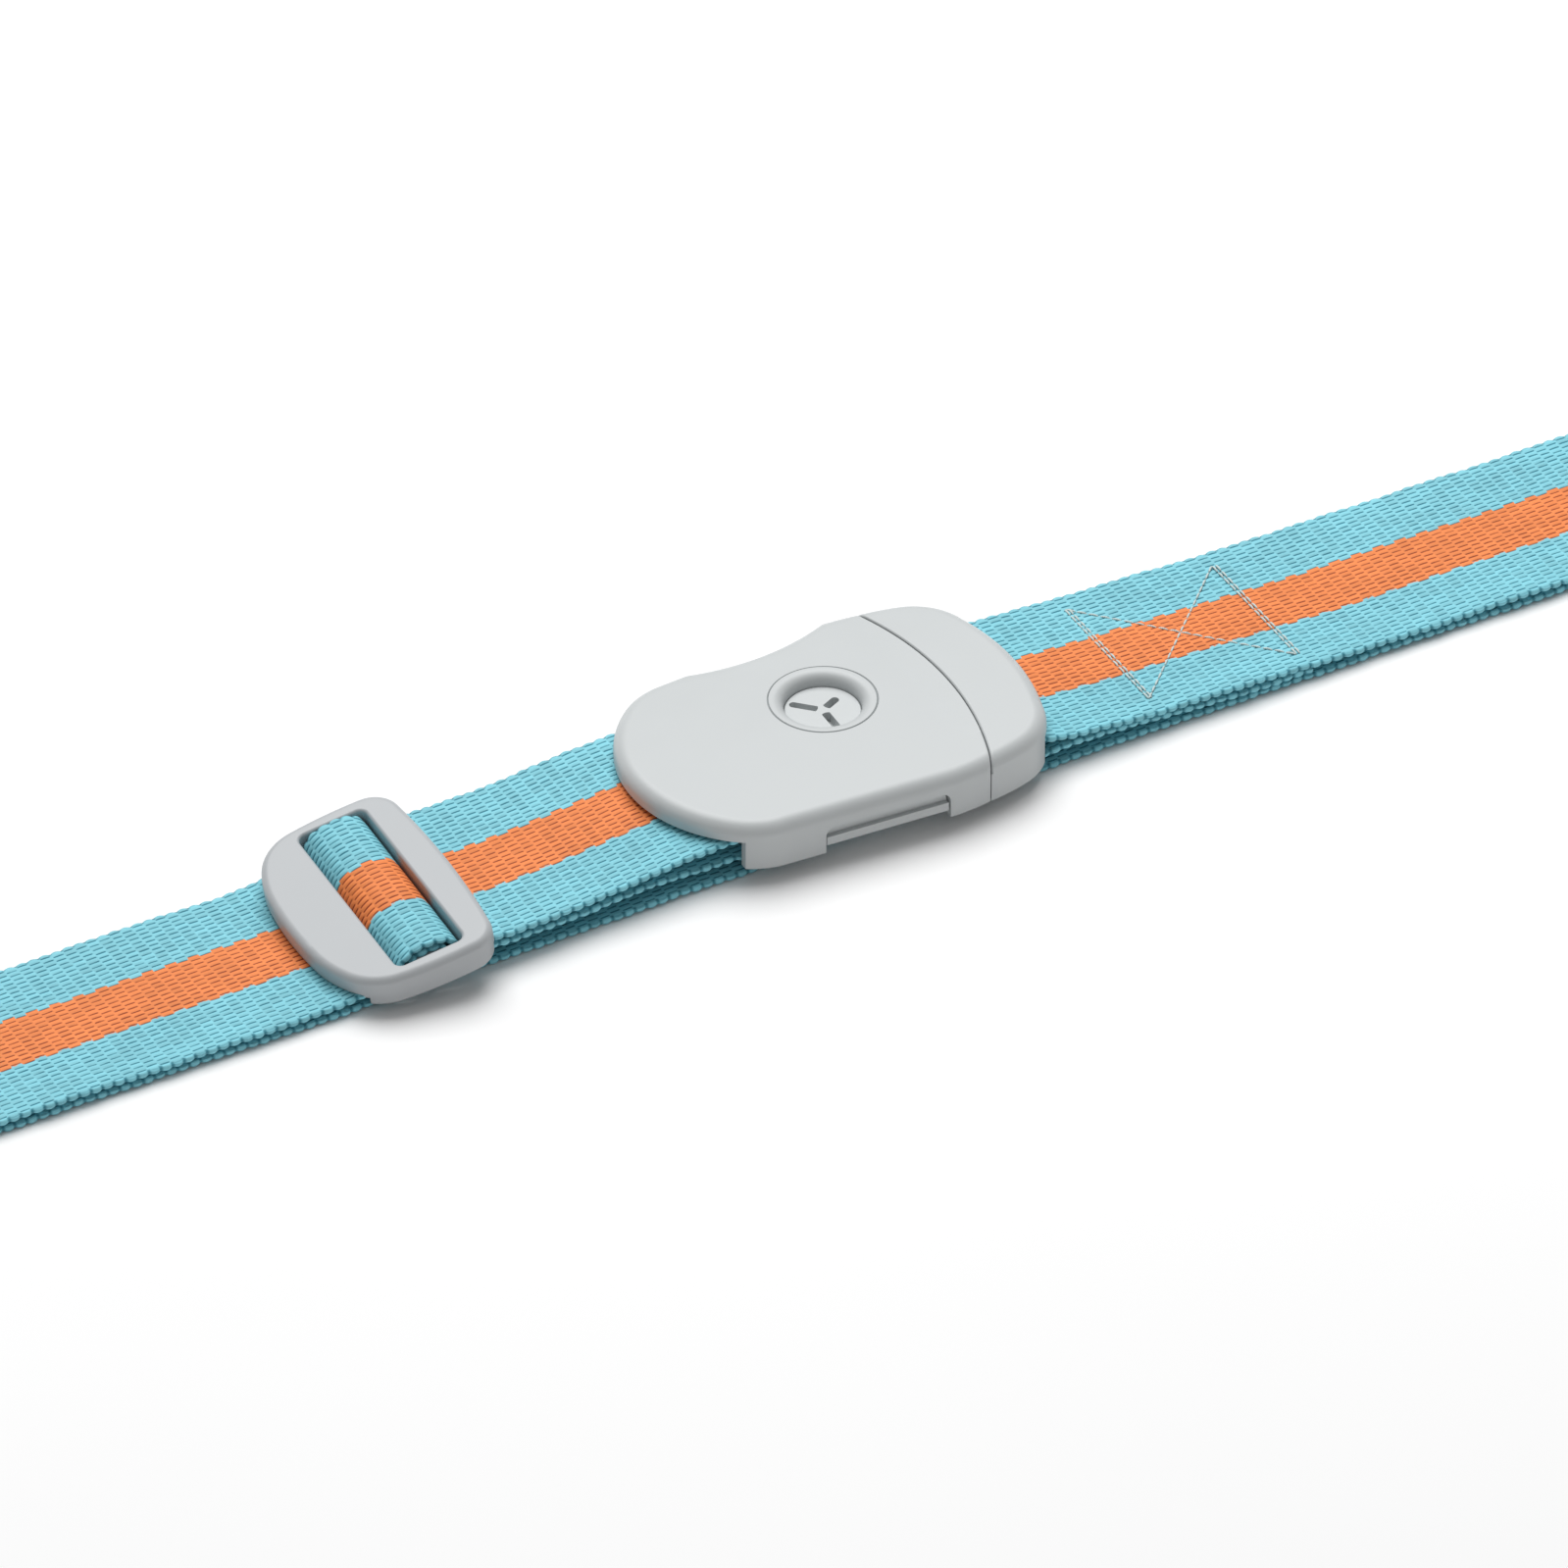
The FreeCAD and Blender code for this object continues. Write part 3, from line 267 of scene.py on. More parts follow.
def new_material(name: str) -> tuple[bpy.types.Material, Wiring, bpy.types.Node]:
    """A material with one Principled shader.

    Args:
        name: the material's name.

    Returns:
        The material, its wiring and its Principled node.
    """
    material = bpy.data.materials.new(name)
    material.use_nodes = True
    material.node_tree.nodes.clear()
    wiring = Wiring(material.node_tree)
    shader = wiring.add("ShaderNodeBsdfPrincipled")
    out = wiring.add("ShaderNodeOutputMaterial")
    wiring.feed(out.inputs["Surface"], shader.outputs["BSDF"])
    return material, wiring, shader


# -------------------------------------------------------------------- the weave
@dataclass(frozen=True)
class Weave:
    """The webbing's weave: columns of short floats, each column half a float off the last.

    Attributes:
        column: the width of a column of floats, along the strap, in metres.
        cell: the room that one float takes across the strap, in metres.
        relief: how far the floats stand above the gaps, in metres.
        fullness: the power that rounds a float's back; smaller is fuller.
    """
    column: float = 2.95 * MM
    cell: float = 1.575 * MM
    relief: float = 0.26 * MM
    fullness: float = 0.7

    def height(self, along: np.ndarray, across: np.ndarray) -> np.ndarray:
        """Height of the floats, from 0 in a gap to 1 on a float's back.

        Every other column is shifted by half a float. In a column's middle the height
        is the absolute sine of the place across, to a small power, which leaves a
        narrow gap between floats. At the column's borders it eases to one half.

        Args:
            along: distance along the strap, in metres.
            across: distance from the strap's middle, in metres.

        Returns:
            The height, in the arguments' common shape.
        """
        index = np.floor(along / self.column)
        place = across / self.cell + 0.5 * np.mod(index, 2.0)
        arch = 2.0 * np.abs(np.sin(np.pi * place)) ** self.fullness - 1.0
        body = np.sqrt(np.clip(np.sin(np.pi * (along / self.column - index)), 0.0, 1.0))
        return 0.5 + 0.5 * body * arch

    def group(self) -> bpy.types.NodeTree:
        """The same weave as a shared node group.

        Returns:
            A group from Along and Across, in metres, to the Height, the Dash between two floats,
            a mask where the webbing paints shade, the float's middle across in metres and its own
            Chance.
        """
        wiring, given, out = new_group(
            "float_weave",
            {"Along": ("NodeSocketFloat", 0.0), "Across": ("NodeSocketFloat", 0.0)},
            {"Height": "NodeSocketFloat", "Dash": "NodeSocketFloat",
             "Middle": "NodeSocketFloat", "Chance": "NodeSocketFloat"})
        along = wiring.calc("DIVIDE", given.outputs["Along"], self.column)
        index = wiring.calc("FLOOR", along)
        offset = wiring.calc("MULTIPLY", wiring.calc("FLOORED_MODULO", index, 2.0), 0.5)
        place = wiring.calc("ADD", wiring.calc("DIVIDE", given.outputs["Across"], self.cell),
                            offset)
        number = wiring.calc("FLOOR", place)
        arch = wiring.calc("SINE", wiring.calc("MULTIPLY", wiring.calc("FRACT", place), math.pi))
        body = wiring.calc("SINE", wiring.calc("MULTIPLY", wiring.calc("FRACT", along), math.pi))
        swell = wiring.calc("MULTIPLY_ADD", wiring.calc("POWER", arch, self.fullness), 2.0, -1.0)
        height = wiring.calc("MULTIPLY", wiring.calc("SQRT", body), swell)
        wiring.feed(out.inputs["Height"], wiring.calc("MULTIPLY_ADD", height, 0.5, 0.5))
        thin = wiring.calc("SUBTRACT", 1.0, wiring.step(arch, 0.16, 0.62))
        wiring.feed(out.inputs["Dash"], wiring.calc("MULTIPLY", thin, wiring.step(body, 0.08, 0.42)))
        middle = wiring.calc("SUBTRACT", wiring.calc("ADD", number, 0.5), offset)
        wiring.feed(out.inputs["Middle"], wiring.calc("MULTIPLY", middle, self.cell))
        chance = wiring.add("ShaderNodeTexWhiteNoise", noise_dimensions="2D")
        cell = wiring.add("ShaderNodeCombineXYZ")
        wiring.feed(cell.inputs[0], index)
        wiring.feed(cell.inputs[1], number)
        wiring.feed(chance.inputs["Vector"], cell.outputs[0])
        wiring.feed(out.inputs["Chance"], chance.outputs["Value"])
        return wiring.tree


def grain_group() -> bpy.types.NodeTree:
    """A shared group for fine surface grain and broad cloudiness.

    Returns:
        A group from Vector, Fine and Broad scales to Grain and Cloud values.
    """
    wiring, given, out = new_group(
        "surface_grain",
        {"Vector": ("NodeSocketVector", None), "Fine": ("NodeSocketFloat", 4000.0),
         "Broad": ("NodeSocketFloat", 60.0)},
        {"Grain": "NodeSocketFloat", "Cloud": "NodeSocketFloat"})
    for name, scale, detail in (("Grain", "Fine", 3.0), ("Cloud", "Broad", 2.0)):
        texture = wiring.add("ShaderNodeTexNoise")
        wiring.feed(texture.inputs["Vector"], given.outputs["Vector"])
        wiring.feed(texture.inputs["Scale"], given.outputs[scale])
        texture.inputs["Detail"].default_value = detail
        wiring.feed(out.inputs[name], texture.outputs[0])
    return wiring.tree


WEAVE = Weave()


# --------------------------------------------------------------------- finishes
@dataclass(frozen=True)
class Striped:
    """Polyester webbing with a middle band in a second colour.

    Attributes:
        name: the material's name.
        side: the side bands' colour.
        side_shade: the side bands' painted shade colour in the gaps between the floats.
        band: the middle band's colour.
        band_shade: the middle band's painted shade colour in the gaps.
        band_shift: the middle band's place across the strap, in metres.
        half_band: half the middle band's width, in metres.
        selvedge: where the plain selvedge begins, from the strap's middle, in metres.
    """
    name: str = "striped_webbing"
    # each band has its own colour and a darker one, which is painted shade for the gaps between the
    # floats
    side: Colour = (0.235, 0.610, 0.705)
    side_shade: Colour = (0.020, 0.180, 0.250)
    band: Colour = (0.870, 0.255, 0.075)
    band_shade: Colour = (0.280, 0.045, 0.010)
    band_shift: float = -0.5 * MM
    half_band: float = 8.0 * MM
    selvedge: float = 23.6 * MM

    def material(self, weave: bpy.types.NodeTree, grain: bpy.types.NodeTree) -> bpy.types.Material:
        """The finish as a material that reads the strap's own UV map, in metres.

        Args:
            weave: the shared weave group.
            grain: the shared grain group.

        Returns:
            The material.
        """
        material, wiring, shader = new_material(self.name)
        chart = wiring.add("ShaderNodeUVMap", uv_map="strap")
        parts = wiring.add("ShaderNodeSeparateXYZ")
        wiring.feed(parts.inputs[0], chart.outputs["UV"])
        along, across = parts.outputs["X"], parts.outputs["Y"]
        wobble = wiring.noise(wiring.stretched(chart.outputs["UV"], (260.0, 420.0, 1.0)), 1.0, 1.0)
        wobble = wiring.calc("SUBTRACT", wobble, 0.5)
        floats = wiring.group(weave, Along=wiring.calc("MULTIPLY_ADD", wobble, 0.9 * MM, along),
                              Across=wiring.calc("MULTIPLY_ADD", wobble, 0.35 * MM, across))
        # each float has one colour, so the band's border steps; its threads fray a little
        fray = wiring.noise(wiring.stretched(chart.outputs["UV"], (900.0, 1500.0, 1.0)), 1.0, 2.0)
        ragged = wiring.calc("MULTIPLY", wiring.calc("SUBTRACT", fray, 0.5), 0.9 * MM)
        own = wiring.calc("MULTIPLY", floats.outputs["Middle"], 0.65)
        here = wiring.calc("MULTIPLY_ADD", across, 0.35, own)
        here = wiring.calc("SUBTRACT", here, self.band_shift)
        reach = wiring.calc("ADD", wiring.calc("ABSOLUTE", here), ragged)
        outside = wiring.step(reach, self.half_band - 0.1 * MM, self.half_band + 0.1 * MM)
        bright = wiring.mix(outside, (*self.band, 1.0), (*self.side, 1.0))
        # the painted shade colour for the gaps, in each band's own hue
        shade_colour = wiring.mix(outside, (*self.band_shade, 1.0), (*self.side_shade, 1.0))
        surface = wiring.group(grain, Vector=chart.outputs["UV"], Fine=2600.0, Broad=45.0)
        # painted shade: the low parts of the weave and the thin dashes between floats darken towards
        # the painted shade colour, the dashes by a depth that varies in patches
        shade = wiring.calc("SUBTRACT", 1.0, wiring.step(floats.outputs["Height"], 0.1, 0.7))
        inside = wiring.calc("SUBTRACT", 1.0, wiring.step(wiring.calc("ABSOLUTE", across),
                                                          self.selvedge, self.selvedge + 0.7 * MM))
        patchy_dash_shade = wiring.step(wiring.noise(chart.outputs["UV"], 300.0, 1.0), 0.25, 0.55)
        depth = wiring.calc("MULTIPLY_ADD", patchy_dash_shade, 0.35, 0.65)
        gap = wiring.calc("MAXIMUM", wiring.calc("MULTIPLY", shade, 0.22),
                          wiring.calc("MULTIPLY", floats.outputs["Dash"], depth))
        gap = wiring.calc("MULTIPLY", gap, wiring.calc("MULTIPLY_ADD", inside, 0.7, 0.3))
        # between two scallops of the selvedge the yarn turns back and lies in shade
        turn = wiring.calc("MULTIPLY", along, math.pi / WEAVE.column)
        notch = wiring.calc("SUBTRACT", 1.0, wiring.calc("ABSOLUTE", wiring.calc("SINE", turn)))
        notch = wiring.calc("MULTIPLY", wiring.step(notch, 0.25, 0.9),
                            wiring.calc("SUBTRACT", 1.0, inside))
        gap = wiring.calc("MAXIMUM", gap, wiring.calc("MULTIPLY", notch, 0.85))
        # the painted shade of the gaps is mixed over the band colours here
        colour = wiring.mix(gap, bright, shade_colour)
        # floats differ a little from each other, and the cloth is cloudy over a few centimetres
        uneven = wiring.calc("ADD", wiring.calc("MULTIPLY", floats.outputs["Chance"], 0.16),
                             wiring.calc("MULTIPLY", surface.outputs["Cloud"], 0.22))
        gain = wiring.calc("ADD", uneven, 0.81)
        tint = wiring.add("ShaderNodeCombineXYZ")
        for socket in tint.inputs:
            wiring.feed(socket, gain)
        colour = wiring.mix(1.0, colour, tint.outputs[0], "MULTIPLY")
        wiring.feed(shader.inputs["Base Color"], colour)
        fibres = wiring.noise(wiring.stretched(chart.outputs["UV"], (500.0, 7000.0, 1.0)), 1.0, 2.0)
        relief = wiring.calc("ADD", wiring.calc("MULTIPLY", floats.outputs["Height"], 0.8),
                             wiring.calc("MULTIPLY", fibres, 0.25))
        wiring.feed(shader.inputs["Normal"], wiring.bump(relief, 0.16 * MM, 0.8))
        shader.inputs["Roughness"].default_value = 0.62
        shader.inputs["Specular IOR Level"].default_value = 0.25
        shader.inputs["Sheen Weight"].default_value = 0.06
        shader.inputs["Sheen Roughness"].default_value = 0.45
        return material


@dataclass(frozen=True)
class Moulded:
    """Satin moulded plastic with a fine spark texture.

    Attributes:
        name: the material's name.
        colour: its colour.
        roughness: its mean roughness.
        texture: the spark texture's depth, in metres.
    """
    name: str
    colour: Colour
    roughness: float = 0.42
    texture: float = 0.006 * MM

    def material(self, grain: bpy.types.NodeTree) -> bpy.types.Material:
        """The finish as a material on Object coordinates.

        Args:
            grain: the shared grain group.

        Returns:
            The material.
        """
        material, wiring, shader = new_material(self.name)
        place = wiring.add("ShaderNodeTexCoord")
        surface = wiring.group(grain, Vector=place.outputs["Object"], Fine=5200.0, Broad=70.0)
        darker = tuple(channel * 0.955 for channel in self.colour)
        mottled = wiring.mix(surface.outputs["Cloud"], (*darker, 1.0), (*self.colour, 1.0))
        wiring.feed(shader.inputs["Base Color"], mottled)
        rough = wiring.calc("MULTIPLY_ADD", surface.outputs["Cloud"], 0.08, self.roughness - 0.04)
        wiring.feed(shader.inputs["Roughness"], rough)
        wiring.feed(shader.inputs["Normal"],
                    wiring.bump(surface.outputs["Grain"], self.texture, 0.6))
        shader.inputs["Specular IOR Level"].default_value = 0.45
        return material


@dataclass(frozen=True)
class Plated:
    """Plated steel with fine drawn lines along one axis.

    Attributes:
        name: the material's name.
        colour: its colour.
        lines: the texture's scale on X, Y and Z.
    """
    name: str = "plated_steel"
    colour: Colour = (0.62, 0.62, 0.64)
    lines: tuple[float, float, float] = (9000.0, 300.0, 9000.0)

    def material(self) -> bpy.types.Material:
        """The finish as a material on Object coordinates.

        Returns:
            The material.
        """
        material, wiring, shader = new_material(self.name)
        place = wiring.add("ShaderNodeTexCoord")
        drawn = wiring.noise(wiring.stretched(place.outputs["Object"], self.lines), 1.0, 2.0)
        darker = tuple(channel * 0.8 for channel in self.colour)
        wiring.feed(shader.inputs["Base Color"],
                    wiring.mix(drawn, (*darker, 1.0), (*self.colour, 1.0)))
        shader.inputs["Metallic"].default_value = 1.0
        wiring.feed(shader.inputs["Roughness"], wiring.calc("MULTIPLY_ADD", drawn, 0.2, 0.22))
        wiring.feed(shader.inputs["Normal"], wiring.bump(drawn, 0.004 * MM, 0.5))
        return material


@dataclass(frozen=True)
class Twisted:
    """Twisted polyester sewing thread.

    Attributes:
        name: the material's name.
        colour: its colour.
        shade_colour: its painted shade colour between the plies.
        turn: the length of one ply's turn, in metres.
    """
    name: str = "sewing_thread"
    colour: Colour = (0.80, 0.86, 0.84)
    # the darker colour below is painted shade in the grooves between the plies
    shade_colour: Colour = (0.42, 0.55, 0.54)
    turn: float = 0.9 * MM

    def material(self, grain: bpy.types.NodeTree) -> bpy.types.Material:
        """The finish as a material on the thread's own UV map: turns along, share round.

        Args:
            grain: the shared grain group.

        Returns:
            The material.
        """
        material, wiring, shader = new_material(self.name)
        chart = wiring.add("ShaderNodeUVMap", uv_map="thread")
        parts = wiring.add("ShaderNodeSeparateXYZ")
        wiring.feed(parts.inputs[0], chart.outputs["UV"])
        along = wiring.calc("DIVIDE", parts.outputs["X"], self.turn)
        turned = wiring.calc("ADD", along, parts.outputs["Y"])
        wave = wiring.calc("SINE", wiring.calc("MULTIPLY", turned, 4.0 * math.pi))
        ply = wiring.calc("MULTIPLY_ADD", wave, 0.5, 0.5)
        surface = wiring.group(grain, Vector=chart.outputs["UV"], Fine=5000.0, Broad=900.0)
        # painted shade: the thread darkens in the grooves between the plies, patchily along it
        shade = wiring.calc("MULTIPLY", ply, wiring.step(surface.outputs["Cloud"], 0.1, 0.6))
        wiring.feed(shader.inputs["Base Color"],
                    wiring.mix(shade, (*self.shade_colour, 1.0), (*self.colour, 1.0)))
        wiring.feed(shader.inputs["Normal"], wiring.bump(ply, 0.06 * MM, 0.7))
        shader.inputs["Roughness"].default_value = 0.5
        return material


# ----------------------------------------------------------------- mesh helpers
def put_mesh(name: str, places: np.ndarray, faces: np.ndarray,
             chart: np.ndarray | None = None, chart_name: str = "strap",
             caps: tuple[np.ndarray, ...] = ()) -> bpy.types.Object:
    """A smooth-shaded object from arrays.

    Args:
        name: the object's name.
        places: vertex positions, N by 3, in metres.
        faces: quads as vertex numbers, M by 4.
        chart: each vertex's place on the UV map, N by 2, or none.
        chart_name: the UV map's name.
        caps: rings of vertex numbers that close the ends.

    Returns:
        The object, linked to the scene at the origin.
    """
    mesh = bpy.data.meshes.new(name)
    rings = [list(map(int, ring)) for ring in caps]
    mesh.from_pydata(places.tolist(), [], faces.tolist() + rings)
    mesh.update()
    if chart is not None:
        layer = mesh.uv_layers.new(name=chart_name)
        corners = np.empty(len(mesh.loops), dtype=np.int64)
        mesh.loops.foreach_get("vertex_index", corners)
        layer.data.foreach_set("uv", chart[corners].astype(np.float32).ravel())
    mesh.polygons.foreach_set("use_smooth", np.ones(len(mesh.polygons), dtype=bool))
    mesh.update()
    made = bpy.data.objects.new(name, mesh)
    bpy.context.scene.collection.objects.link(made)
    return made


def volume_of(places: np.ndarray, faces: np.ndarray) -> float:
    """Signed volume of a closed grid of quads: the sum of its corner pyramids."""
    a, b, c, d = (places[faces[:, k]] for k in range(4))
    return float((np.einsum("ij,ij->i", a, np.cross(b, c))
                  + np.einsum("ij,ij->i", a, np.cross(c, d))).sum() / 6.0)


def wrapped_grid(rows: int, columns: int) -> np.ndarray:
    """Quads of a tube of rows by columns vertices whose columns close on themselves."""
    row, column = np.meshgrid(np.arange(rows - 1), np.arange(columns), indexing="ij")
    after = (column + 1) % columns
    corners = (row * columns + column, row * columns + after,
               (row + 1) * columns + after, (row + 1) * columns + column)
    return np.stack(corners, axis=-1).reshape(-1, 4)


def arc(centre: tuple[float, float], radius: float, start: float, end: float,
        count: int = 24) -> Points:
    """Points on an arc in the strap's side plane.

    Args:
        centre: the arc's centre as (x, z), in millimetres.
        radius: its radius, in millimetres.
        start: its first angle from +X towards +Z, in degrees.
        end: its last angle, in degrees.
        count: how many points.

    Returns:
        The points, in millimetres.
    """
    angles = np.radians(np.linspace(start, end, count))
    return [(centre[0] + radius * math.cos(a), centre[1] + radius * math.sin(a)) for a in angles]


def eased(points: Points, ease: float, step: float) -> np.ndarray:
    """A route through points with its corners eased.

    The corners are joined by straight runs, sampled every tenth of a millimetre, and
    averaged with a bell curve; the result is sampled again at even steps.

    Args:
        points: the route's corners as (x, z), in millimetres.
        ease: the bell curve's width, in millimetres.
        step: the distance between samples, in millimetres.

    Returns:
        The route, N by 2, in metres.
    """
    fine = 0.1
    corners = np.array(points)
    run = np.concatenate([[0.0], np.cumsum(np.hypot(*np.diff(corners, axis=0).T))])
    ticks = np.arange(0.0, run[-1], fine)
    line = np.stack([np.interp(ticks, run, corners[:, k]) for k in (0, 1)], axis=1)
    if ease > 0.0:
        half = int(3.0 * ease / fine)
        bell = np.exp(-0.5 * (np.arange(-half, half + 1) * fine / ease) ** 2)
        before = line[0] - (line[1] - line[0]) * np.arange(half, 0, -1)[:, None]
        after = line[-1] + (line[-1] - line[-2]) * np.arange(1, half + 1)[:, None]
        padded = np.concatenate([before, line, after])
        line = np.stack([np.convolve(padded[:, k], bell / bell.sum(), "valid")
                         for k in (0, 1)], axis=1)
    run = np.concatenate([[0.0], np.cumsum(np.hypot(*np.diff(line, axis=0).T))])
    ticks = np.linspace(0.0, run[-1], max(2, int(run[-1] / step) + 1))
    return np.stack([np.interp(ticks, run, line[:, k]) for k in (0, 1)], axis=1) * MM


@dataclass
class Webbing:
    """A length of webbing carried along a route in the strap's side plane.

    Attributes:
        name: the piece's name.
        route: the middle line, N by 2, in metres.
        centre: each sample's place across the strap, in metres.
        lean: each sample's rise per metre across the strap.
        skew: each sample's shift along the strap per metre across it, if any.
        start: the weave's place at the route's first sample, in metres.
        fine: how many samples a float's width has on the outer side.
        coarse: the same for the inner side.
        seed: the start of this length's random unevenness.
        half_width: half the width between the selvedges' middles, in metres.
        half_thick: half the thickness under the weave, in metres.
        scallop: how far the selvedge swells at each turn of the yarn, in metres.
    """
    name: str
    route: np.ndarray
    centre: np.ndarray
    lean: np.ndarray
    skew: np.ndarray | None = None
    start: float = 0.0
    fine: int = 4
    coarse: int = 1
    seed: int = 1
    half_width: float = 24.8 * MM
    half_thick: float = 0.58 * MM
    scallop: float = 0.55 * MM

    def samples(self, per_cell: int) -> np.ndarray:
        """Places across the strap, close together at the rounded edges.

        Args:
            per_cell: samples to a float's width.

        Returns:
            The places from edge to edge, as shares of the half width.
        """
        cells = 2.0 * self.half_width / WEAVE.cell
        inner = self.half_width - self.half_thick
        flat = np.linspace(-inner, inner, int(cells * per_cell) + 1)
        turn = np.radians(np.array([18.0, 42.0, 66.0]))
        rim = inner + self.half_thick * np.cos(turn)
        return np.concatenate([-rim, flat, rim[::-1]]) / self.half_width

    def build(self) -> bpy.types.Object:
        """Make the closed surface.

        Each sample of the route has a ring: over the outer side, round one edge, back
        over the inner side and round the other. A ring point's height is the half
        thickness plus the weave, times the quarter circle that rounds the edge. At the
        selvedge the width and the thickness swell once in every column of the weave.

        Returns:
            The piece.
        """
        step = np.gradient(self.route, axis=0)
        step /= np.hypot(step[:, 0], step[:, 1])[:, None]
        normal = np.stack([-step[:, 1], step[:, 0]], axis=1)
        run = np.concatenate([[0.0], np.cumsum(np.hypot(*np.diff(self.route, axis=0).T))])
        along = (run + self.start)[:, None]
        outer, inner = self.samples(self.fine), self.samples(self.coarse)[::-1]
        share = np.concatenate([outer, inner])[None, :]
        side = np.concatenate([np.ones(len(outer)), -np.ones(len(inner))])[None, :]
        rng = np.random.default_rng(self.seed)
        shift = rng.uniform(0.0, 6.28, 8)
        wander = (0.5 * np.sin(along * 240.0 + shift[0]) + 0.5 * np.sin(along * 611.0 + shift[1]))
        edge = np.sign(share) * np.clip((np.abs(share) - 0.95) / 0.05, 0.0, 1.0)
        beat = np.abs(np.sin(np.pi * along / WEAVE.column))
        swell = edge * (beat - 0.6 + 0.35 * wander) * self.scallop
        across = share * self.half_width + swell
        depth = np.clip((self.half_width * (1.0 - np.abs(share))) / self.half_thick, 0.0, 1.0)
        rounded = np.sqrt(np.clip(1.0 - (1.0 - depth) ** 2, 0.0, 1.0))
        floats = WEAVE.height(along + 0.0 * share, share * self.half_width + 0.0 * along)
        plump = 1.0 + 0.25 * np.abs(edge) * (beat - 0.5)
        rise = side * rounded * (self.half_thick * plump + (floats - 0.5) * WEAVE.relief)
        ripple = (0.12 * np.sin(along * 160.0 + shift[2]) * share ** 2
                  + 0.10 * np.sin(along * 95.0 + shift[3] + 1.3 * share)) * MM
        rise = rise + ripple * self.looseness()[:, None]
        places = np.empty((len(self.route), share.shape[1], 3))
        places[..., 0] = self.route[:, :1] + normal[:, :1] * rise
        if self.skew is not None:
            places[..., 0] += self.skew[:, None] * across
        places[..., 1] = self.centre[:, None] + across
        places[..., 2] = self.route[:, 1:] + normal[:, 1:] * rise + self.lean[:, None] * across
        count = share.shape[1]
        faces = wrapped_grid(len(self.route), count)
        flat = places.reshape(-1, 3)
        first = np.arange(count)
        last = first + (len(self.route) - 1) * count
        if volume_of(flat, faces) < 0.0:
            faces = faces[:, ::-1]
            caps = (first, last[::-1])
        else:
            caps = (first[::-1], last)
        chart = np.stack([along + 0.0 * share, share * self.half_width + 0.0 * along], axis=-1)
        return put_mesh(self.name, flat, faces, chart.reshape(-1, 2), "strap", caps)

    def looseness(self) -> np.ndarray:
        """How freely the webbing ripples: fully on straight runs, not on tight bends."""
        step = np.gradient(self.route, axis=0)
        angle = np.unwrap(np.arctan2(step[:, 1], step[:, 0]))
        run = np.hypot(step[:, 0], step[:, 1])
        bend = np.abs(np.gradient(angle)) / run
        return 1.0 / (1.0 + (bend / 40.0) ** 2)

    def length(self) -> float:
        """The route's length in metres."""
        return float(np.hypot(*np.diff(self.route, axis=0).T).sum())


def spread(route: np.ndarray, knots: Points) -> np.ndarray:
    """A value for each sample of a route, eased between knots of (x, value) in millimetres.

    Args:
        route: the route, N by 2, in metres.
        knots: places along X and their values, both in millimetres.

    Returns:
        The values, in metres.
    """
    table = np.array(knots)
    return np.interp(route[:, 0] / MM, table[:, 0], table[:, 1]) * MM


@dataclass
class Dresser:
    """Puts finished pieces on their bodies and logs them.

    Attributes:
        finishes: the material of each slot.
        adjuster: a slightly darker copy of the shell material, for the adjuster frame.
        made: the names of the pieces dressed so far.
    """
    finishes: dict[Slot, bpy.types.Material]
    adjuster: bpy.types.Material
    made: list[str] = field(default_factory=list)

    def dress(self, piece: bpy.types.Object, slot: Slot) -> None:
        """Give a new piece its slot's material and say which slot it is."""
        piece.data.materials.clear()
        piece.data.materials.append(self.finishes[slot])
        self.made.append(piece.name)
        LOG.info("%s: %d faces, %s", piece.name, len(piece.data.polygons), slot.value)

    def fit(self, piece: bpy.types.Object, slot: Slot, body: Body, *nodes: str) -> None:
        """Dress a piece, ride it on its body and hide the nodes that it stands for."""
        self.dress(piece, slot)
        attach(piece, body.value)
        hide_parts(*nodes)

    def dress_node(self, node: str, slot: Slot) -> None:
        """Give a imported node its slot's material in all its material slots."""
        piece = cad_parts[node]
        if not piece.material_slots:
            piece.data.materials.append(self.finishes[slot])
        for place in piece.material_slots:
            place.material = self.finishes[slot]
        LOG.info("%s: packed node, %s", node, slot.value)


def smoothed(node: str, sharp_angle: float = 35.0) -> bpy.types.Object:
    """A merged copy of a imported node, shaded smooth over its fillets.

    Args:
        node: the node's name.
        sharp_angle: edges sharper than this stay sharp, in degrees.

    Returns:
        The copy, at the origin.
    """
    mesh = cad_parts[node].data.copy()
    mesh.name = f"{node}_shell"
    made = bpy.data.objects.new(f"{node}_shell", mesh)
    bpy.context.scene.collection.objects.link(made)
    weld = made.modifiers.new("weld", "WELD")
    weld.merge_threshold = 1e-6
    depsgraph = bpy.context.evaluated_depsgraph_get()
    welded = bpy.data.meshes.new_from_object(made.evaluated_get(depsgraph))
    made.modifiers.clear()
    made.data = welded
    welded.name = f"{node}_shell"
    for attribute in ("custom_normal", "sharp_face", "sharp_edge"):
        if attribute in welded.attributes:
            welded.attributes.remove(welded.attributes[attribute])
    welded.polygons.foreach_set("use_smooth", np.ones(len(welded.polygons), dtype=bool))
    welded.set_sharp_from_angle(angle=math.radians(sharp_angle))
    weighted = made.modifiers.new("even_shading", "WEIGHTED_NORMAL")
    weighted.keep_sharp = True
    weighted.weight = 80
    return made


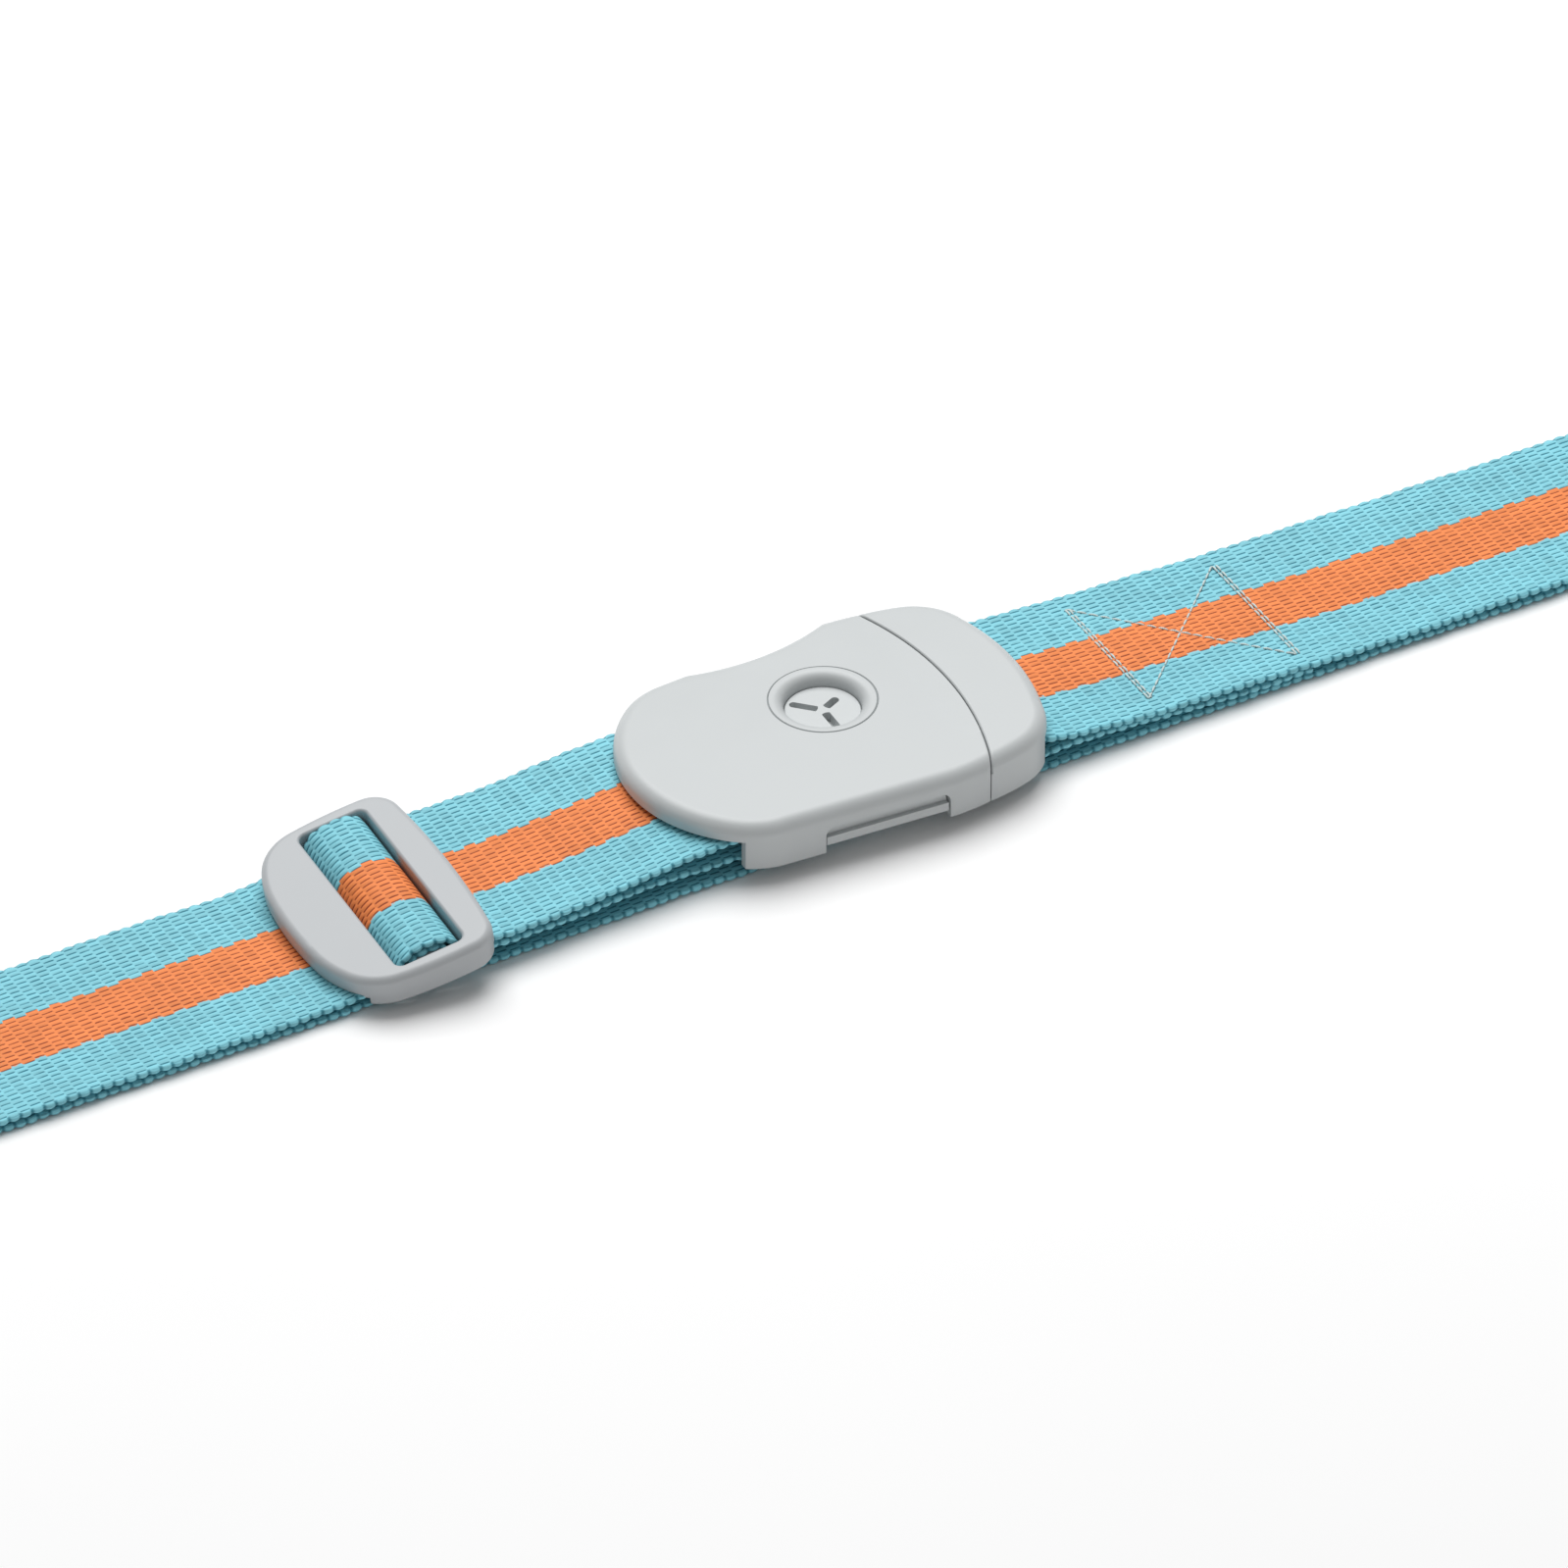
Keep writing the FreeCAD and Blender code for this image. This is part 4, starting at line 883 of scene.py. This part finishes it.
# --------------------------------------------------------------- sub-assemblies
@dataclass
class Buckle:
    """The housing, the turning lock, the end cap and its latch arms.

    Attributes:
        shells: moulded outer parts, with their bodies and slots.
        steel: plated steel parts.
    """
    shells: tuple[tuple[str, Body, Slot], ...] = (
        ("top_cover", Body.HOUSING, Slot.SHELL),
        ("lower_case", Body.HOUSING, Slot.SHELL),
        ("cap_upper", Body.END_CAP, Slot.SHELL),
        ("cap_lower", Body.END_CAP, Slot.SHELL),
        ("latch_arm_near", Body.NEAR_ARM, Slot.SHELL),
        ("latch_arm_far", Body.FAR_ARM, Slot.SHELL),
        ("lock_plug", Body.LOCK, Slot.PLUG),
        ("lock_cam", Body.LOCK, Slot.INNER),
        ("tongue", Body.END_CAP, Slot.INNER),
    )
    steel: tuple[str, ...] = ("strap_bar", "cap_bar", "case_screws", "cap_screws", "cam_clip",
                              "detent_ball", "detent_spring")

    def build(self, dresser: Dresser) -> None:
        """Smooth the moulded parts and dress everything."""
        for node, body, slot in self.shells:
            dresser.fit(smoothed(node), slot, body, node)
        for node in self.steel:
            dresser.dress_node(node, Slot.STEEL)


@dataclass
class Adjuster:
    """The D-shaped frame, and the strap that goes over its bar and on to the buckle.

    Attributes:
        bar: the centre of the frame's own coordinates as (x, z), in millimetres.
        pitch: the frame's tilt, in degrees.
        roll: the frame's lean across the strap, in degrees.
        yaw: its turn about the upright axis, in degrees.
        strap_bar: the buckle's bar as (x, z), in millimetres.
        turn: the radius of the webbing's middle line round that bar, in millimetres.
        hump_half: half the width of the strap's hump over the cross bar, in millimetres.
        hump_rise: the hump's height, in millimetres.
        hump_power: the power of the hump's super-ellipse.
        stitch_pitch: from one stitch of the sewn loop to the next, in millimetres.
    """
    bar: tuple[float, float] = (-119.2, 7.1)
    pitch: float = 8.8
    roll: float = 1.5
    yaw: float = -2.0
    strap_bar: tuple[float, float] = (-35.5, 7.3)
    turn: float = 2.55
    hump_half: float = 7.75
    hump_rise: float = 6.75
    hump_power: float = 2.4
    stitch_pitch: float = 20.0 / 7.0

    def placed(self, points: Points) -> Points:
        """Turn points of the frame's own (u, w) coordinates into (x, z), in millimetres."""
        c, s = math.cos(math.radians(self.pitch)), math.sin(math.radians(self.pitch))
        return [(self.bar[0] + u * c - w * s, self.bar[1] + u * s + w * c) for u, w in points]

    def hump(self) -> Points:
        """The strap's middle line over the bar, the upper half of a super-ellipse."""
        angles = np.linspace(math.pi, 0.0, 40)
        cosine, sine, power = np.cos(angles), np.sin(angles), 2.0 / self.hump_power
        across = self.hump_half * np.sign(cosine) * np.abs(cosine) ** power
        rise = -0.6 + self.hump_rise * np.abs(sine) ** power
        return list(zip(across.tolist(), rise.tolist()))

    def sewn_loop(self) -> Points:
        """The middle line of the sewn end round the bar, from the tail inwards."""
        corners = arc((2.2, 2.25), 2.1, -20.0, 90.0, 12) + arc((-2.2, 2.25), 2.1, 90.0, 180.0, 12)
        corners += arc((-2.2, 1.75), 2.1, 180.0, 270.0, 12)
        return [(15.5, -2.5), (8.0, -2.4), (5.6, -0.4)] + corners + [(3.0, -0.35)]

    def strand(self) -> Webbing:
        """The strap from under the frame, over the bar, round the buckle's bar and back."""
        bar_x, bar_z = self.strap_bar
        points = self.placed([(-15.6, -0.85), (-9.0, -0.85)] + self.hump()
                             + [(9.0, -0.85), (15.5, -0.85)])
        points += [(-97.5, 8.1), (-90.0, 8.0), (-78.0, 8.0), (-60.0, 8.55), (-44.0, 9.5)]
        points += arc((bar_x, bar_z), self.turn, 90.0, -90.0)
        points += [(-44.0, 4.85), (-60.0, 5.3), (-80.0, 5.7), (-97.0, 6.3)]
        points += self.placed(self.sewn_loop())
        route = eased(points, 0.55, 0.52)
        centre = spread(route, [(-136.0, -3.0), (-119.0, -3.4), (-104.0, -3.7), (-97.0, -3.3),
                                (-56.0, -0.5), (-40.0, -0.2)])
        roll = math.tan(math.radians(self.roll))
        lean = spread(route, [(-98.0, roll / MM), (-70.0, 0.0)])
        yaw = -math.tan(math.radians(self.yaw))
        skew = spread(route, [(-100.0, yaw / MM), (-75.0, 0.0)])
        return Webbing("adjuster_webbing", route, centre, lean, skew, start=0.3, seed=5)

    def stitches(self) -> bpy.types.Object:
        """The row of stitches that closes the sewn loop."""
        count = 14
        first = self.stitch_pitch * (np.arange(count) - count / 2.0) - 1.6
        (x, z), = self.placed([(11.2, -3.35)])
        starts = np.stack([np.full(count, x), first, np.full(count, z)], axis=1)
        ends = starts + [0.0, self.stitch_pitch - 0.5, 0.0]
        return thread_runs("adjuster_stitches", starts * MM, ends * MM)

    def build(self, dresser: Dresser) -> None:
        """Make the frame, the strand and the stitches, and dress them."""
        shell = smoothed("slider_frame")
        dresser.fit(shell, Slot.SHELL, Body.ADJUSTER, "slider_frame")
        shell.data.materials[0] = dresser.adjuster
        strand = self.strand()
        piece = strand.build()
        dresser.dress(piece, Slot.WEBBING)
        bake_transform(piece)
        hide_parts("web_hump", "web_bar_loop", "web_mid", "web_wrap", "web_tail")
        strand.length()
        dresser.fit(self.stitches(), Slot.THREAD, Body.ADJUSTER, "slider_stitching")


def thread_runs(name: str, starts: np.ndarray, ends: np.ndarray,
                radius: float = 0.27 * MM, arch: float = 0.2 * MM) -> bpy.types.Object:
    """Separate stitches, each a short arched rod that narrows to its ends.

    A stitch's middle line is a parabola over its chord, and its radius is the full
    radius times the fourth root of a half sine.

    Args:
        name: the piece's name.
        starts: the stitches' first points, N by 3, in metres.
        ends: their last points, N by 3, in metres.
        radius: the thread's radius, in metres.
        arch: how high the middle of a stitch stands, in metres.

    Returns:
        The piece, with one closed rod per stitch.
    """
    rings, sides = 9, 8
    share = np.linspace(0.0, 1.0, rings)[None, :, None, None]
    angle = (np.arange(sides) / sides * 2.0 * np.pi)[None, None, :, None]
    chord = (ends - starts)[:, None, None, :]
    flat = chord / np.linalg.norm(chord, axis=-1, keepdims=True)
    up = np.array([0.0, 0.0, 1.0])[None, None, None, :]
    side = np.cross(flat, up)
    middle = starts[:, None, None, :] + chord * share + up * 4.0 * arch * share * (1.0 - share)
    girth = radius * np.clip(np.sin(np.pi * np.clip(share, 0.03, 0.97)), 0.0, 1.0) ** 0.25
    places = middle + girth * (np.cos(angle) * side + np.sin(angle) * up)
    count = len(starts)
    grid = wrapped_grid(rings, sides)
    faces = (grid[None] + (np.arange(count) * rings * sides)[:, None, None]).reshape(-1, 4)
    flat_places = places.reshape(-1, 3)
    turned = -1 if volume_of(flat_places, faces) < 0.0 else 1
    faces = faces[:, ::turned]
    caps = []
    for index in range(count):
        first = index * rings * sides + np.arange(sides)
        last = first + (rings - 1) * sides
        caps += [first[::-turned], last[::turned]]
    length = np.linalg.norm(ends - starts, axis=1)[:, None, None] * share[..., 0]
    chart = np.stack(np.broadcast_arrays(length, angle[..., 0] / (2.0 * np.pi)), axis=-1)
    return put_mesh(name, flat_places, faces, chart.reshape(-1, 2), "thread", tuple(caps))


@dataclass
class LooseWebbing:
    """The lower layer, the fold at the left and the layer that returns over it.

    Attributes:
        left: where the fold begins, in millimetres.
        right: where the roll takes over, in millimetres.
        upper: the upper layer's middle height, in millimetres.
    """
    left: float = -233.0
    right: float = 226.0
    upper: float = 2.75

    def drift(self, route: np.ndarray) -> np.ndarray:
        """The layers' place across the strap, easing from the left to the buckle."""
        return spread(route, [(-230.0, -3.4), (-137.0, -3.0), (-100.0, -2.4), (-30.0, -1.0),
                              (30.0, 0.0), (150.0, 0.9), (226.0, 1.0)])

    def build(self, dresser: Dresser) -> None:
        """Make both lengths and dress them."""
        turn = self.upper / 2.0 - 0.35
        low = [(self.right, 0.8), (-120.0, 0.8), (self.left + 3.0, 0.8)]
        low += arc((self.left + 0.2, 0.7 + turn), turn, 270.0, 90.0)
        low += [(self.left + 3.0, self.upper)]
        route = eased(low, 0.5, 0.75)
        lower = Webbing("lower_webbing", route, self.drift(route), np.zeros(len(route)),
                        start=1.1, fine=1, seed=11)
        piece = lower.build()
        dresser.dress(piece, Slot.WEBBING)
        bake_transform(piece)
        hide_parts("web_bottom", "web_fold_left")
        route = eased([(self.left + 3.0, self.upper), (-190.0, 2.8), (-150.0, 2.75),
                       (-142.0, 3.0), (-135.6, 3.8)], 1.0, 0.52)
        upper = Webbing("upper_left_webbing", route, self.drift(route), np.zeros(len(route)),
                        seed=7)
        piece = upper.build()
        dresser.fit(piece, Slot.WEBBING, Body.HOUSING, "web_top_left")


@dataclass
class SewnEnd:
    """The webbing sewn round the end cap's bar, its box stitching and the spare roll.

    Attributes:
        bar: the end cap's bar as (x, z), in millimetres.
        turn: the radius of the webbing's middle line round the bar, in millimetres.
        roll_at: the spare roll's centre along the strap, in millimetres.
        roll_radius: the roll's outer radius, in millimetres.
        pair: how much the radius falls in one turn of the doubled strap, in millimetres.
        box_left: the box stitching's first end row, in millimetres.
        box_right: its last end row.
        box_half: half its width.
        box_middle: its middle's place across the strap.
        row_gap: between the two rows of a doubled end row.
        stitch: the length of a stitch.
        turns: how many times the spare strap winds round.
        top: the top strand's middle line from the bar to the roll, as (x, z).
    """
    bar: tuple[float, float] = (36.0, 6.9)
    turn: float = 2.55
    roll_at: float = 235.0
    roll_radius: float = 22.0
    pair: float = 3.05
    box_left: float = 72.0
    box_right: float = 111.4
    box_half: float = 19.6
    box_middle: float = 0.2
    row_gap: float = 0.9
    stitch: float = 2.7
    turns: float = 5.2
    top: Points = field(default_factory=lambda: [
        (40.0, 9.15), (49.0, 6.85), (70.0, 5.45), (100.0, 4.1), (114.0, 3.7), (130.0, 3.0),
        (160.0, 2.8), (222.5, 2.45)])

    def drift(self, route: np.ndarray) -> np.ndarray:
        """The strap's place across, easing from the buckle to the right."""
        return spread(route, [(40.0, 0.0), (150.0, 0.9), (226.0, 1.0)])

    def strand(self) -> Webbing:
        """The strap from its sewn end, round the bar and on to the roll."""
        bar_x, bar_z = self.bar
        points = [(113.0, 2.3), (100.0, 2.35), (70.0, 3.85), (50.0, 5.1), (41.0, 4.55)]
        points += arc((bar_x, bar_z), self.turn, 270.0, 90.0)
        route = eased(points + self.top, 1.0, 0.52)
        return Webbing("sewn_webbing", route, self.drift(route), np.zeros(len(route)),
                       start=0.7, seed=3)

    def roll(self) -> Webbing:
        """The doubled spare strap: one strand winds in, turns at the core and winds out.

        The radius falls evenly with the angle; the outer strand's middle line is half a
        thickness inside the roll and the inner one a strap's thickness further in.
        """
        angle = np.linspace(0.0, self.turns * 2.0 * math.pi, 620)
        outer = self.roll_radius - 0.7 - self.pair * angle / (2.0 * math.pi)
        inner = outer - 1.5
        def winding(radius: np.ndarray) -> list:
            """Points of one strand's spiral, from the floor up the right side."""
            x = self.roll_at + radius * np.sin(angle)
            z = self.roll_radius - radius * np.cos(angle)
            return list(zip(x.tolist(), z.tolist()))
        points = [(222.5, 2.45), (229.0, 2.3)] + winding(inner)
        points += winding(outer)[::-1] + [(230.0, 0.8), (226.0, 0.8)]
        route = eased(points, 0.4, 1.1)
        run = np.linspace(0.0, 1.0, len(route))
        centre = (1.0 + 0.5 * np.sin(run * 40.0) * np.sin(run * math.pi)) * MM
        return Webbing("spare_roll", route, centre, np.zeros(len(route)),
                       start=0.2, fine=1, seed=9)

    def surface(self, x: np.ndarray) -> np.ndarray:
        """The top strand's upper surface at places along the strap, in millimetres."""
        table = np.array(self.top)
        return np.interp(x, table[:, 0], table[:, 1]) + 0.62

    def stitches(self) -> bpy.types.Object:
        """Two doubled end rows and two crossing diagonals of separate stitches."""
        left, right, half = self.box_left, self.box_right, self.box_half
        rows = [((x, -half), (x, half)) for x in (left, left + self.row_gap,
                                                  right, right + self.row_gap)]
        rows += [((left, -half), (right, half)), ((left, half), (right, -half))]
        starts, ends = [], []
        for (x0, y0), (x1, y1) in rows:
            count = int(math.hypot(x1 - x0, y1 - y0) / self.stitch)
            share = np.arange(count + 1) / count
            x = x0 + (x1 - x0) * share
            y = y0 + (y1 - y0) * share + self.box_middle
            place = np.stack([x, y, self.surface(x)], axis=1)
            gap = (place[1:] - place[:-1]) * 0.06
            starts.append(place[:-1] + gap)
            ends.append(place[1:] - gap)
        return thread_runs("box_stitches", np.concatenate(starts) * MM,
                           np.concatenate(ends) * MM)

    def build(self, dresser: Dresser) -> None:
        """Make the strand, the roll and the stitches, and dress them."""
        strand = self.strand()
        roll = self.roll()
        for length, nodes in ((strand, ("web_cap_loop", "web_right", "web_right_under")),
                              (roll, ("web_roll",))):
            piece = length.build()
            dresser.fit(piece, Slot.WEBBING, Body.END_CAP, *nodes)
            length.length()
        dresser.fit(self.stitches(), Slot.THREAD, Body.END_CAP, "box_stitching")


# ----------------------------------------------------------------------- studio
@dataclass
class Studio:
    """A pale floor, soft light and the camera.

    Attributes:
        target: the point that the camera looks at, in millimetres.
        back: the direction from the target to the camera.
        distance: how far the camera stands, in metres.
        lens: its focal length for a 36 mm sensor, in millimetres.
    """
    target: tuple[float, float, float] = (-23.4, -18.4, 16.0)
    back: tuple[float, float, float] = (-0.3857, -0.6957, 0.6060)
    distance: float = 4.5
    lens: float = 453.3

    def camera(self) -> None:
        """Place the camera and make it the scene's own."""
        data = bpy.data.cameras.new("camera")
        data.type, data.sensor_width, data.lens = "PERSP", 36.0, self.lens
        data.clip_start, data.clip_end = 0.1, 60.0
        camera = bpy.data.objects.new("camera", data)
        aim, back = Vector(self.target) * MM, Vector(self.back).normalized()
        camera.location = aim + back * self.distance
        camera.rotation_mode = "QUATERNION"
        camera.rotation_quaternion = (-back).to_track_quat("-Z", "Y")
        bpy.context.scene.collection.objects.link(camera)
        bpy.context.scene.camera = camera

    def lamp(self, name: str, place: tuple[float, float, float], side: float, watts: float) -> None:
        """A square soft box that faces the strap.

        Args:
            name: the lamp's name.
            place: its place, in metres.
            side: its side, in metres.
            watts: its power.
        """
        data = bpy.data.lights.new(name, "AREA")
        data.shape, data.size, data.energy = "SQUARE", side, watts
        lamp = bpy.data.objects.new(name, data)
        lamp.location = place
        lamp.rotation_mode = "QUATERNION"
        lamp.rotation_quaternion = (-Vector(place)).to_track_quat("-Z", "Y")
        bpy.context.scene.collection.objects.link(lamp)

    def floor(self) -> None:
        """A wide pale floor just under the strap: a flat grid with a faint mottle."""
        cells = 12
        span = np.linspace(-9.0, 9.0, cells + 1)
        x, y = np.meshgrid(span, span, indexing="ij")
        places = np.stack([x, y, np.full_like(x, -0.0002)], axis=-1).reshape(-1, 3)
        row, column = np.meshgrid(np.arange(cells), np.arange(cells), indexing="ij")
        first = (row * len(span) + column).ravel()
        after = first + len(span)
        faces = np.stack([first, after, after + 1, first + 1], axis=1)
        piece = put_mesh("floor", places, faces)
        material, wiring, shader = new_material("pale_floor")
        place = wiring.add("ShaderNodeTexCoord")
        cloud = wiring.noise(place.outputs["Object"], 6.0, 2.0)
        wiring.feed(shader.inputs["Base Color"],
                    wiring.mix(cloud, (0.93, 0.93, 0.93, 1.0), (0.95, 0.95, 0.95, 1.0)))
        shader.inputs["Roughness"].default_value = 0.9
        shader.inputs["Specular IOR Level"].default_value = 0.1
        piece.data.materials.append(material)

    def build(self) -> None:
        """Light the strap and set the camera."""
        world = bpy.data.worlds.new("studio")
        bpy.context.scene.world = world
        world.use_nodes = True
        backdrop = world.node_tree.nodes["Background"]
        backdrop.inputs["Color"].default_value = (1.0, 1.0, 1.0, 1.0)
        backdrop.inputs["Strength"].default_value = 0.30
        self.floor()
        self.lamp("overhead", (0.3, 0.9, 1.9), 1.8, 52.0)
        self.camera()
        view = bpy.context.scene.view_settings
        view.view_transform, view.look, view.exposure = "Standard", "None", 0.0


def main() -> None:
    """Build every sub-assembly in order and light it."""
    logging.basicConfig(level=logging.INFO, format="%(name)s %(message)s")
    weave, grain = WEAVE.group(), grain_group()
    finishes = {
        Slot.SHELL: Moulded("satin_grey", (0.545, 0.570, 0.575)).material(grain),
        Slot.PLUG: Moulded("plug_grey", (0.560, 0.585, 0.590), 0.38).material(grain),
        Slot.INNER: Moulded("inner_grey", (0.40, 0.42, 0.43), 0.5).material(grain),
        Slot.STEEL: Plated().material(),
        Slot.WEBBING: Striped().material(weave, grain),
        Slot.THREAD: Twisted().material(grain),
    }
    dresser = Dresser(finishes, Moulded("adjuster_grey", (0.455, 0.475, 0.49)).material(grain))
    Buckle().build(dresser)
    Adjuster().build(dresser)
    LooseWebbing().build(dresser)
    SewnEnd().build(dresser)
    Studio().build()
    LOG.info("%d new pieces", len(dresser.made))


if __name__ == "__main__":
    main()
